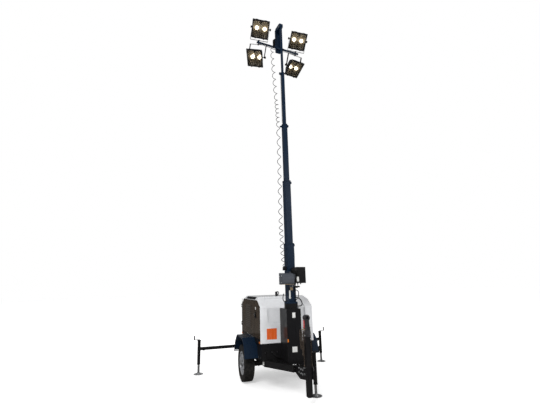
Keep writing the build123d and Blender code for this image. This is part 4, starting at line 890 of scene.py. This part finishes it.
class TOWER_OT_hood(bpy.types.Operator):
    """Latches, louvres, painted shade in the seams and behind the louvres, screws and blank plates of the
    body
    """
    bl_idname = "tower.hood"
    bl_label = "Body"

    def execute(self, context):
        label("orange_plate", "chassis", (-0.384, FRONT_Y, 0.808), (-0.198, FRONT_Y, 0.990), FORE,
              "orange_vinyl")
        for side, word in SIDES:
            self.door(side, word, f"door_{word}", side * HALF, (side, 0, 0))
            self.roof_edge(side, word)
        self.front()
        self.rear()
        return {"FINISHED"}

    def door(self, side, word, door, wall, aim):
        pitch = (DOOR_HIGH - 0.087 - DOOR_LOW - 0.125) / 12
        slots = [round(DOOR_LOW + 0.125 + pitch * row, 4) for row in range(12)]
        front, back, rear = FRONT_Y + 0.690, FRONT_Y + 1.120, high(door).y
        blades = Form()
        for z in slots:
            blades.prism([(wall + side * out, z + up) for out, up in (
                (-0.003, 0.0215), (0.010, 0.004), (0.010, 0.001), (0.0085, 0.001), (-0.003, 0.017))],
                1, front - 0.004, back + 0.004)
        blades.piece("louvres_" + word, door, "bronze_door", 0.0004)
        # dark sheet behind the louvre slots: painted shade of the body's inside
        mesh = Form().box((wall - side * 0.012, front - 0.02, slots[0] - 0.02),
                          (wall - side * 0.010, back + 0.02, slots[-1] + 0.04))
        mesh.piece("louvre_backing_" + word, door, "gap_shade")
        # dark strips inside the door's seams: painted shade in the gaps
        seam_shade = Form()
        for y in (SEAM_Y + 0.003, rear - 0.010):
            seam_shade.box((wall - side * 0.008, y - 0.006, DOOR_LOW + 0.004),
                     (wall - side * 0.003, y + 0.006, DOOR_HIGH - 0.004))
        seam_shade.piece("seal_" + word, "chassis", "gap_shade")
        # paddle latch beside the seam
        y, z = SEAM_Y - 0.060, 1.204
        latch = Form().box((wall, y - 0.040, z - 0.055), (wall + side * 0.006, y + 0.040, z + 0.055))
        latch.box((wall + side * 0.006, y - 0.028, z - 0.040), (wall + side * 0.016, y + 0.028, z + 0.030))
        latch.rod((wall + side * 0.006, y, z + 0.041), (wall + side * 0.011, y, z + 0.041), 0.008, 14, 0.001)
        latch.piece("latch_" + word, "chassis", "black_paint", 0.002)
        keeper = Form().box((wall + side * 0.0002, SEAM_Y + 0.008, z - 0.020),
                            (wall + side * 0.004, SEAM_Y + 0.040, z + 0.020))
        keeper.piece("keeper_" + word, door, "zinc_steel", 0.001)
        label("door_plate_" + word, "chassis", (wall, SEAM_Y - 0.100, 1.300), (wall, SEAM_Y - 0.045, 1.345),
              aim)
        spots = []
        for y, top in ((low(f"side_post_{word}").y + 0.03, 1.31), (SEAM_Y - 0.022, DOOR_HIGH - 0.05)):
            spots += row_of((wall, y, DOOR_LOW + 0.05), (wall, y, top), 5, aim)
        bolts("post_screws_" + word, "chassis", spots, 0.006, 0.003, "black_paint")
        hinges = [DOOR_LOW + share * (DOOR_HIGH - DOOR_LOW) for share in (0.16, 0.72)]
        levels = [hinge + rise for hinge in hinges for rise in (0.012, 0.058)]
        spots = [((wall, rear - y, z), aim) for y in (0.030, 0.052) for z in levels]
        bolts("hinge_screws_" + word, door, spots, 0.0055, 0.003)

    def roof_edge(self, side, word):
        """Black slatted strip on the roof's chamfer."""
        edge_low = Vector((side * HALF, 0, ROOF_EDGE))
        edge_high = Vector((side * (HALF - CHAMFER), 0, ROOF_TOP))
        slope = (edge_high - edge_low).normalized()
        out = Vector((side * abs(slope.z), 0, abs(slope.x))).normalized()
        place = Matrix((BACK, slope, out)).transposed().to_4x4()
        place.translation = (edge_low + edge_high) / 2 + Vector((0, 0.34, 0))
        form = Form(place).box((-0.36, -0.031, 0.0), (0.36, 0.031, 0.0015))
        for start in (-0.345 + number * 0.0295 for number in range(24)):
            form.prism([(start, 0.0015), (start + 0.016, 0.0015), (start + 0.016, 0.006)], 1, -0.024, 0.024)
        form.piece("roof_strip_" + word, "chassis", "black_paint", 0.0004)
        spots = [(place @ Vector((x, y, 0.0015)), out) for x in (-0.353, 0.353) for y in (-0.022, 0.022)]
        bolts("roof_strip_screws_" + word, "chassis", spots, 0.004, 0.002)

    def front(self):
        rows = [((x, FRONT_Y, 0.80), (x, FRONT_Y, 1.29), 4) for x in (-0.478, 0.478)]
        rows += [((x, FRONT_Y, 0.762), (x + 0.27, FRONT_Y, 0.762), 3) for x in (-0.44, 0.17)]
        spots = [spot for row in rows for spot in row_of(*row, FORE)]
        bolts("front_screws", "chassis", spots, 0.0065, 0.003, "white_paint")
        y = low("roof").y
        # dark strip near the top of the roof's front face: a painted shade line
        seam_shade = Form().box((-0.440, y - 0.0035, ROOF_TOP - 0.010), (0.440, y - 0.0005, ROOF_TOP - 0.004))
        seam_shade.piece("roof_seal", "chassis", "gap_shade")
        x, y = 0.10, 0.42
        eye = Form().turned([(0, 0.030), (0.006, 0.030), (0.008, 0.016), (0.018, 0.014)],
                            (x, y, ROOF_TOP), UP, 20)
        ring = round_points((x, y, ROOF_TOP + 0.045), Vector(RIGHT), Vector(UP), 0.030, 24)
        eye.tube(ring, 0.008, 10, True)
        eye.piece("lifting_eye", "chassis", "engine_iron")

    def rear(self):
        spots = []
        for x in (-0.478, 0.478):
            spots += row_of((x, REAR_Y, 0.86), (x, REAR_Y, 1.30), 3, BACK)
        bolts("rear_screws", "chassis", spots, 0.0065, 0.003, "white_paint")
        grille, slat = Form(), ((0.0, 0.020), (0.008, 0.004), (0.008, 0.0), (0.0, 0.006))
        for z in (0.93 + 0.036 * row for row in range(9)):
            grille.prism([(REAR_Y + back, z + up) for back, up in slat], 0, -0.22, 0.22)
        grille.piece("rear_grille", "chassis", "white_paint", 0.0005)
        label("rear_plate", "chassis", (-0.26, REAR_Y, 0.790), (0.26, REAR_Y, 0.885), BACK)
        caps, y = Form(), high("marker_lamps").y - 0.0005
        for x in (side * (0.345 + 0.035 * number) for side in (-1, 1) for number in range(3)):
            caps.turned([(0, 0.0145), (0.003, 0.0145), (0.004, 0.010)], (x, y, 0.815), BACK, 16)
        caps.piece("rear_lenses", "chassis", "red_lens")


# half of the tyre's outline, from the bead to the crown: distance from its middle, radius
TYRE_OUTLINE = ((0.077, 0.1963), (0.077, 0.210), (0.088, 0.232), (0.097, 0.251), (0.0995, 0.262),
                (0.0985, 0.264), (0.0985, 0.276), (0.0970, 0.279), (0.0950, 0.298), (0.086, 0.308),
                (0.074, 0.3125), (0.0, 0.3145))
# rows of tread blocks: sides, foot and top, and how far round they are shifted
TREAD_ROWS = ((-0.086, -0.055, 0.3100, 0.3205, 0.0), (-0.049, -0.020, 0.3120, 0.3235, 0.5),
              (-0.014, 0.014, 0.3125, 0.3238, 0.2), (0.020, 0.049, 0.3120, 0.3235, 0.7),
              (0.055, 0.086, 0.3100, 0.3205, 0.35))


def tyre_form(side):
    """Tyre with grooved tread blocks, shoulder lugs and ribbed side walls."""
    centre, y, z = AXLE + Vector((side * WHEEL_X, 0, 0)), Vector(BACK), Vector(UP)
    outline = [(-x, radius) for x, radius in TYRE_OUTLINE] + list(TYRE_OUTLINE[-2::-1])
    rings = [round_points(centre + Vector((x, 0, 0)), y, z, radius, 96) for x, radius in outline]
    form = Form().skin(rings, True)
    blocks = sizes().tread_blocks
    wide = 2 * pi / blocks * 0.80
    for x0, x1, inner, outer, shift in TREAD_ROWS:
        lean = 0.012 if x0 < 0 else -0.012
        for number in range(blocks):
            start = 2 * pi * (number + shift) / blocks
            edges = [(x, angle) for x, first in ((x0, start), (x1, start + lean))
                     for angle in (first, first + wide)]
            corners = [centre + Vector((x, cos(angle) * radius, sin(angle) * radius))
                       for radius in (inner, outer) for x, angle in edges]
            form.faces_of(corners, BOX_FACES)
    return form


class TOWER_OT_wheels(bpy.types.Operator):
    """Tyres with tread, wheel nuts, valves, hub caps and mudguard bolts"""
    bl_idname = "tower.wheels"
    bl_label = "Wheels"

    nut = ((0.0, 0.0135), (0.004, 0.0135), (0.005, 0.0115), (0.018, 0.0115), (0.021, 0.0085))
    nut_circle = 0.05715      # five holes on 114.3 mm

    def execute(self, context):
        for side, word in SIDES:
            self.wheel(side, word, f"wheel_{word}", side * (WHEEL_X + 0.068))
            self.mudguard(side, word)
        return {"FINISHED"}

    def wheel(self, side, word, body, face):
        y, z = AXLE.yz
        tyre = tyre_form(side).piece("tyre_tread_" + word, body, "tyre_rubber", 0.0, 32.0)
        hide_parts("tyre_" + word)
        spots = ring_of((face, y, z), (side, 0, 0), self.nut_circle, 5, radians(18))
        repeated("wheel_nuts_" + word, body, "zinc_steel", Form().turned(self.nut, (0, 0, 0), UP, 6, False),
                 [(*spot, UP) for spot in spots])
        cap = Form().turned([(0, 0.040), (0.016, 0.040), (0.019, 0.037), (0.020, 0.0)],
                            (side * (WHEEL_X + 0.088), y, z), (side, 0, 0), 32)
        cap.piece("hub_cap_" + word, body, "zinc_steel")
        valve = Form().rod((face - side * 0.004, y, z + 0.172), (face + side * 0.026, y, z + 0.168),
                           0.0042, 10, 0.0008)
        valve.piece("valve_" + word, body, "cord_rubber")
        weights = Form()
        for angle in (0.6, 2.9):
            low_y, low_z = y + cos(angle) * 0.193 - 0.006, z + sin(angle) * 0.193 - 0.018
            weights.box((face, low_y, low_z), (face + side * 0.006, low_y + 0.012, low_z + 0.036))
        weights.piece("balance_weights_" + word, body, "zinc_steel", 0.002)

    def mudguard(self, side, word):
        y, top = WHEEL.y, high(f"fender_{word}").z
        spots = row_of((side * 0.500, y - 0.20, top), (side * 0.500, y + 0.21, top), 4, UP)
        bolts("mudguard_bolts_" + word, "chassis", spots, 0.008)
        step = Form()
        for x in (side * (0.585 + 0.018 * number) for number in range(6)):
            step.box((x - 0.004, y - 0.19, top), (x + 0.004, y + 0.20, top + 0.002))
        step.piece("step_strips_" + word, "chassis", "cord_rubber", 0.0006)


class TOWER_OT_chassis(bpy.types.Operator):
    """Bolts, pins, hoses and blank plates of the frame, column and jacks"""
    bl_idname = "tower.chassis"
    bl_label = "Frame and jacks"

    def execute(self, context):
        self.nose()
        self.column()
        self.underside()
        self.jacks()
        return {"FINISHED"}

    def nose(self):
        y = DRAWBAR_Y
        spots = [((side * 0.054, y + back, z), (side, 0, 0))
                 for side in (-1, 1) for back in (0.10, 0.17, 0.25) for z in (0.40, 0.46)]
        bolts("nose_bolts", "chassis", spots, 0.011)
        pins = Form().rod((-0.074, y, 0.510), (0.080, y, 0.510), 0.0095, 16, 0.002)
        route = ((0.0, 0.510), (0.025, 0.500), (0.032, 0.480), (0.022, 0.462), (0.006, 0.468), (0.004, 0.490))
        pins.tube([(0.074, y - front, z) for front, z in route], 0.0022, 6)
        pins.turned([(0, 0.016), (0.006, 0.016)], (-0.080, y, 0.510), RIGHT, 20)
        pins.piece("locking_pin", "chassis", "zinc_steel")
        caps = Form()
        for side in (-1, 1):
            nut = [(0, 0.0175), (0.004, 0.0175), (0.005, 0.014)]
            caps.turned(nut, (side * 0.0625, y, 0.425), (side, 0, 0), 6, False)
        caps.piece("pivot_nuts", "drawbar", "zinc_steel")
        label("rail_plate", "chassis", (-0.4302, -0.36, 0.385), (-0.4302, -0.27, 0.445), (-1, 0, 0))

    def column(self):
        front, top = low("column").y, high("column").z
        label("column_plate_1", "chassis", (-0.028, front, 1.185), (0.028, front, 1.270), FORE)
        label("column_plate_2", "chassis", (-0.048, front, 0.640), (0.040, front, 0.725), FORE)
        label("column_marker", "chassis", (-0.1285, front, 0.800), (-0.1085, front, 0.850), FORE,
              "marker_plastic")
        flange = Form().turned([(0.001, 0.108), (0.001, 0.1178), (0.007, 0.1178), (0.007, 0.108)],
                               (0, MAST.y, top), UP, 48, False, True)
        flange.piece("ring_flange", "chassis", "black_paint", 0.001)
        spots = ring_of((0, MAST.y, 1.4383), UP, 0.106, 12, 0.13)
        bolts("collar_bolts", "mast_base", spots, 0.008, slot="navy_paint")
        spots = [((side * 0.130, y, z), (side, 0, 0))
                 for z in (0.52, 0.90, 1.28) for y in (front + 0.03, FRONT_Y - 0.03) for side in (-1, 1)]
        for x in (-0.11, 0.11):
            spots += row_of((x, front, 0.52), (x, front, 1.28), 4, FORE)
        bolts("column_bolts", "chassis", spots, 0.007, 0.004, "black_paint")
        knob = Form().turned([(0, 0.010), (0.006, 0.019), (0.013, 0.022), (0.019, 0.017), (0.021, 0.006)],
                             (0.085, front + 0.03, top + 0.001), UP, 24)
        knob.piece("turn_lock_knob", "chassis", "grey_paint")

    def underside(self):
        """Hoses, drain fittings and frame bolts seen below the body."""
        lines = Form()
        for shift in (0.0, 0.022):
            route = [(-0.30 + shift, -0.402, 0.62), (-0.26 + shift, -0.42, 0.55),
                     (-0.18, -0.41, 0.505 + shift), (-0.08, -0.402, 0.50 + shift),
                     (0.02, -0.405, 0.50 + shift)]
            lines.tube(smooth_path(route), 0.006, 8)
        lines.piece("front_hoses", "chassis", "cord_rubber")
        fittings = Form()
        for x in (-0.42, -0.30, -0.20):
            fittings.rod((x, -0.3915, 0.60), (x, -0.4120, 0.60), 0.012, 6, 0.001)
            fittings.rod((x, -0.4120, 0.60), (x, -0.4220, 0.60), 0.007, 12, 0.001)
        fittings.piece("drain_fittings", "chassis", "dark_steel")
        axle, skirt = [], []
        for side in (-1, 1):
            axle += [((side * 0.400, WHEEL.y - front, 0.290), DOWN) for front in (0.19, 0.13)]
            axle += row_of((side * 0.4302, -0.28, 0.440), (side * 0.4302, 1.0, 0.440), 6, (side, 0, 0))
            for start, end in ((-0.30, -0.16), (0.86, 1.04)):
                skirt += row_of((side * 0.475, start, 0.50), (side * 0.475, end, 0.50), 2, (side, 0, 0))
        bolts("axle_bolts", "chassis", axle, 0.010)
        bolts("skirt_bolts", "chassis", skirt, 0.007, 0.004)

    def jacks(self):
        for side, word in SIDES:
            beam = f"outrigger_{word}"
            y = self.jack(f"leg_{word}", beam, f"outrigger_leg_{word}", side, 0.185)
            self.beam(side, beam, y)
        self.jack("leg_front", "chassis", "front_jack_leg", 1, 0.170)

    def jack(self, leg, body, node, side, mouth):
        """Ribs on the foot, and trims and bolts on the tube; gives the leg's Y."""
        x, y, _ = (low(node) + high(node)) / 2
        weld, rib = Form(), ((0.0225, 0.0062), (0.075, 0.0062), (0.0225, 0.034))
        for number in range(4):
            angle = pi / 4 + pi / 2 * number
            across = Vector((cos(angle), sin(angle), 0))
            beside = Vector((-sin(angle), cos(angle), 0)) * 0.002
            corners = [Vector((x, y, rise)) + across * reach + beside * shift
                       for reach, rise in rib for shift in (-1, 1)]
            weld.faces_of(corners, [(0, 2, 4), (1, 5, 3), (0, 1, 3, 2), (2, 3, 5, 4), (4, 5, 1, 0)])
        weld.turned([(0, 0.0985), (0.0035, 0.0985)], (x, y, 0.0005), UP, 40)
        weld.piece("foot_ribs_" + leg, leg, "zinc_steel", 0.0008)
        trim = Form().turned([(0, 0.0345), (0.014, 0.0345), (0.016, 0.0322)], (x, y, mouth), UP, 32)
        trim.turned([(0, 0.0395), (0.004, 0.0395)], (x, y, 0.6395), UP, 32)
        trim.turned([(0, 0.0125), (0.066, 0.0125), (0.070, 0.009)], (x + side * 0.098, y, 0.667), UP, 20)
        trim.piece("jack_trim_" + leg, body, "black_paint", 0.0006)
        bolts("jack_bolts_" + leg, body, ring_of((x, y, 0.652), UP, 0.028, 3), 0.005)
        return y

    def beam(self, side, body, y):
        """Pull handle and lock pin of an outrigger beam."""
        x = side * 1.30
        form = Form().box((x - 0.022, y - 0.034, 0.448), (x + 0.022, y - 0.0278, 0.516))
        route = ((0.034, 0.505), (0.060, 0.500), (0.064, 0.482), (0.060, 0.464), (0.034, 0.459))
        form.tube([(x, y - front, z) for front, z in route], 0.005, 8)
        form.piece("beam_handle_" + body, body, "black_paint", 0.001)
        x = side * 0.440
        pin = Form().rod((x, y, 0.516), (x, y, 0.560), 0.009, 14, 0.001)
        pin.tube(round_points((x, y, 0.580), Vector(RIGHT), Vector(UP), 0.022, 16), 0.0028, 6, True)
        pin.piece("beam_pin_" + body, "chassis", "zinc_steel")


class TOWER_OT_coupler(bpy.types.Operator):
    """Handle, ball clamp and bolts of the coupler, and round-link safety chains"""
    bl_idname = "tower.coupler"
    bl_label = "Coupler and chains"

    foot = 1.0703             # level where the coupler's socket begins
    top, pitch, links = 1.010, 0.0297, 15      # first link's level, pitch and count of the straight chains
    chain_x = 0.060
    loop_top, loop_pitch, loop_steps = 1.045, 0.0245, 44
    loops = ((-0.078, 0.34, -0.030), (-0.092, 0.26, 0.012))      # place in X, depth, place in Y

    def execute(self, context):
        self.coupler(DRAWBAR_Y, self.foot)
        self.chains(DRAWBAR_Y)
        return {"FINISHED"}

    def coupler(self, y, z):
        dome = [(0.0, 0.0465), (0.030, 0.0465)]
        for angle in (pi / 16 * step for step in range(1, 9)):
            dome.append((0.030 + 0.016 * sin(angle), 0.046 * cos(angle) + 0.001))
        Form().turned(dome, (0, y, z + 0.160), BACK, 32).piece("coupler_dome", "drawbar", "dark_steel")
        outline = ((0.052, 0.030), (0.066, 0.040), (0.064, 0.150), (0.048, 0.175), (0.040, 0.150),
                   (0.052, 0.120))
        handle = Form().prism([(y + back, z + up) for back, up in outline], 0, -0.016, 0.016)
        handle.rod((-0.022, y + 0.050, z + 0.045), (0.022, y + 0.050, z + 0.045), 0.006, 12, 0.001)
        handle.piece("coupler_handle", "drawbar", "dark_steel", 0.002)
        strip = Form().box((-0.0475, y - 0.030, z + 0.010), (-0.0425, y + 0.020, z + 0.125))
        strip.piece("coupler_strip", "drawbar", "red_lens", 0.001)
        spots = [((side * 0.042, y + shift, z - down), (side, 0, 0))
                 for side in (-1, 1) for shift in (-0.018, 0.018) for down in (0.028, 0.100)]
        bolts("coupler_bolts", "drawbar", spots, 0.0095)
        plate = Form().box((-0.085, y - 0.046, z - 0.012), (-0.0423, y + 0.010, z - 0.004))
        plate.piece("chain_plate", "drawbar", "tan_steel", 0.001)

    def link(self):
        straight, bend = 0.010, 0.008
        points = []
        for angle in (2 * pi * step / 20 for step in range(20)):
            shift = straight if sin(angle) > 0 else -straight
            points.append((cos(angle) * bend, 0, sin(angle) * bend + shift))
        return Form().tube(points, 0.003, 8, True)

    def chains(self, y):
        places = [(Vector((x, y, self.top - self.pitch * number)), UP, RIGHT if number % 2 else BACK)
                  for x in (-self.chain_x, self.chain_x) for number in range(self.links)]
        chain = repeated("chain_links", "drawbar", "chain_steel", self.link(), places)
        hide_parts("safety_chains")
        loops = []
        for x, depth, shift in self.loops:
            spots = []
            for share in (step / self.loop_steps for step in range(self.loop_steps + 1)):
                drop = depth * (1 - (2 * share - 1) ** 2) ** 0.75
                place = (x - 0.014 * share, y + shift + 0.028 * (share - 0.5), self.loop_top - drop)
                spots.append(Vector(place))
            loops += self.along(spots)
        repeated("chain_loops", "drawbar", "chain_steel", self.link(), loops)
        hooks, base = Form(), self.top - self.pitch * (self.links - 1) - 0.02
        route = ((0.0, 0.012), (0.0, -0.012), (-0.014, -0.034), (-0.004, -0.052), (0.016, -0.044),
                 (0.020, -0.024))
        for x in (-self.chain_x, self.chain_x):
            hooks.tube([(x, y + back, base + up) for back, up in route], 0.0045, 8)
        hooks.piece("chain_hooks", "drawbar", "chain_steel")

    def along(self, spots):
        """Link places at one pitch along a hanging line."""
        places, travelled, due = [], 0.0, 0.0
        for start, end in zip(spots, spots[1:]):
            run = (end - start).length
            while due <= travelled + run:
                heading = (end - start).normalized()
                side = heading.cross(Vector(BACK)).normalized()
                if len(places) % 2:
                    side = heading.cross(side)
                places.append((start.lerp(end, (due - travelled) / run), heading, side))
                due += self.loop_pitch
            travelled += run
        return places


class TOWER_OT_mast_foot(bpy.types.Operator):
    """Winch cover, electrical box, cables and blank strip at the mast's foot"""
    bl_idname = "tower.mast_foot"
    bl_label = "Mast foot"

    routes = (
        ("hose_left", 0.0075, [
            (-0.104, 0.060, 1.585), (-0.124, 0.060, 1.545), (-0.128, 0.056, 1.485), (-0.112, 0.048, 1.452),
            (-0.092, 0.040, 1.450), (-0.068, 0.030, 1.466)]),
        ("hose_upper", 0.0070, [
            (0.050, -0.078, 1.735), (0.060, -0.088, 1.690), (0.045, -0.086, 1.650), (0.080, -0.078, 1.640),
            (0.125, -0.060, 1.620), (0.135, -0.050, 1.560), (0.110, -0.060, 1.500), (0.074, -0.066, 1.480)]),
        ("hose_lower", 0.0080, [
            (0.074, -0.060, 1.520), (0.110, -0.075, 1.505), (0.150, -0.082, 1.480), (0.175, -0.086, 1.430),
            (0.172, -0.090, 1.392), (0.140, -0.090, 1.366), (0.090, -0.072, 1.370)]),
        ("box_lead", 0.0050, [
            (0.130, -0.040, 1.740), (0.130, -0.050, 1.700), (0.105, -0.060, 1.670), (0.076, -0.066, 1.690)]),
        ("drum_lead", 0.0050, [
            (0.030, -0.140, 1.918), (0.035, -0.150, 1.85), (0.048, -0.130, 1.76), (0.040, -0.086, 1.70),
            (0.042, -0.078, 1.60), (0.046, -0.076, 1.50), (0.044, -0.080, 1.445)]),
    )

    def execute(self, context):
        self.winch()
        self.box()
        for name, radius, route in self.routes:
            Form(MAST_FRAME).tube(smooth_path(route, 10), radius, 10).piece(name, "mast_base", "cord_rubber")
        clips = Form(MAST_FRAME)
        for x, y, z in ((-0.034, -0.074, 1.515), (0.048, -0.074, 1.600), (0.050, -0.074, 1.500)):
            clips.box((x - 0.010, y - 0.002, z - 0.006), (x + 0.010, -0.0702, z + 0.006))
        clips.piece("cable_clips", "mast_base", "zinc_steel", 0.001)
        return {"FINISHED"}

    def winch(self):
        rim = Form(MAST_FRAME)
        profile = [(-0.0755, 1.744), (-0.1825, 1.744), (-0.2025, 1.774), (-0.2025, 1.861), (-0.1675, 1.916),
                   (-0.1215, 1.936), (-0.0755, 1.936)]
        for x in (-0.2585, -0.0275):
            rim.prism(profile, 0, x, x + 0.004)
        rim.piece("winch_edges", "mast_base", "grey_paint", 0.001)
        bracket = Form(MAST_FRAME).box((-0.250, -0.190, 1.7390), (-0.030, -0.080, 1.7445))
        bracket.box((-0.045, -0.075, 1.640), (0.010, -0.0705, 1.745))
        bracket.piece("winch_bracket", "mast_base", "tan_steel", 0.001)
        spots = [on(MAST_FRAME, (x, -0.0785, z), FORE) for x in (0.0, 0.045) for z in (1.705, 1.948)]
        spots += [on(MAST_FRAME, (-0.2585, y, z), (-1, 0, 0)) for y in (-0.10, -0.17) for z in (1.775, 1.88)]
        bolts("winch_bolts", "mast_base", spots, 0.008)
        crank = Form(MAST_FRAME).rod((0.005, -0.138, 1.840), (0.028, -0.138, 1.840), 0.013, 18, 0.001)
        crank.prism([(-0.150, 1.830), (-0.126, 1.830), (-0.128, 1.690), (-0.148, 1.690)], 0, 0.020, 0.027)
        crank.rod((0.022, -0.138, 1.700), (0.110, -0.138, 1.700), 0.013, 16, 0.003)
        crank.piece("winch_crank", "mast_base", "black_paint", 0.001)

    def box(self):
        lid = Form(MAST_FRAME).box((0.088, -0.0745, 1.758), (0.282, -0.062, 2.042))
        for x in (0.13, 0.19):
            lid.rod((x, -0.040, 1.760), (x, -0.040, 1.738), 0.011, 12, 0.002)
        lid.box((0.100, -0.082, 1.880), (0.112, -0.0745, 1.930))
        lid.piece("box_lid", "mast_base", "black_paint", 0.003)
        drum = Form(MAST_FRAME).turned([(0, 0.048), (0.006, 0.056), (0.060, 0.056), (0.066, 0.048)],
                                       (0.030, -0.138, 1.975), BACK, 28)
        drum.piece("cable_drum", "mast_base", "black_paint", 0.001)
        for name, one, other in (("mast_strip", (-0.0690, -0.0700, 1.500), (-0.0400, -0.0700, 1.640)),
                                 ("box_label", (0.096, -0.0746, 1.790), (0.140, -0.0746, 1.870))):
            label(name, "mast_base", one, other, FORE, depth=0.0009, place=MAST_FRAME)


STEPS = (
    TOWER_OT_finishes, TOWER_OT_stage, TOWER_OT_mast_cord, TOWER_OT_mast, TOWER_OT_mast_head, TOWER_OT_lamps,
    TOWER_OT_mast_foot, TOWER_OT_hood, TOWER_OT_wheels, TOWER_OT_chassis, TOWER_OT_coupler,
)


class TOWER_PT_panel(bpy.types.Panel):
    """Sizes, colours and steps of the light tower"""
    bl_idname = "TOWER_PT_panel"
    bl_label = "Light tower"
    bl_space_type = "VIEW_3D"
    bl_region_type = "UI"
    bl_category = "Light tower"

    def draw(self, context):
        for group in (context.scene.tower_sizes, context.scene.tower_colours):
            column = self.layout.column(align=True)
            for name in group.__annotations__:
                column.prop(group, name)
        for step in STEPS:
            self.layout.operator(step.bl_idname)


GROUPS = (TowerSizes, TowerColours)


def register():
    for kind in (*GROUPS, *STEPS, TOWER_PT_panel):
        bpy.utils.register_class(kind)
    bpy.types.Scene.tower_sizes = PointerProperty(type=TowerSizes)
    bpy.types.Scene.tower_colours = PointerProperty(type=TowerColours)


def unregister():
    del bpy.types.Scene.tower_colours
    del bpy.types.Scene.tower_sizes
    for kind in reversed((*GROUPS, *STEPS, TOWER_PT_panel)):
        bpy.utils.unregister_class(kind)


def main():
    register()
    for step in STEPS:
        group, name = step.bl_idname.split(".")
        getattr(getattr(bpy.ops, group), name)()


if __name__ == "__main__":
    main()
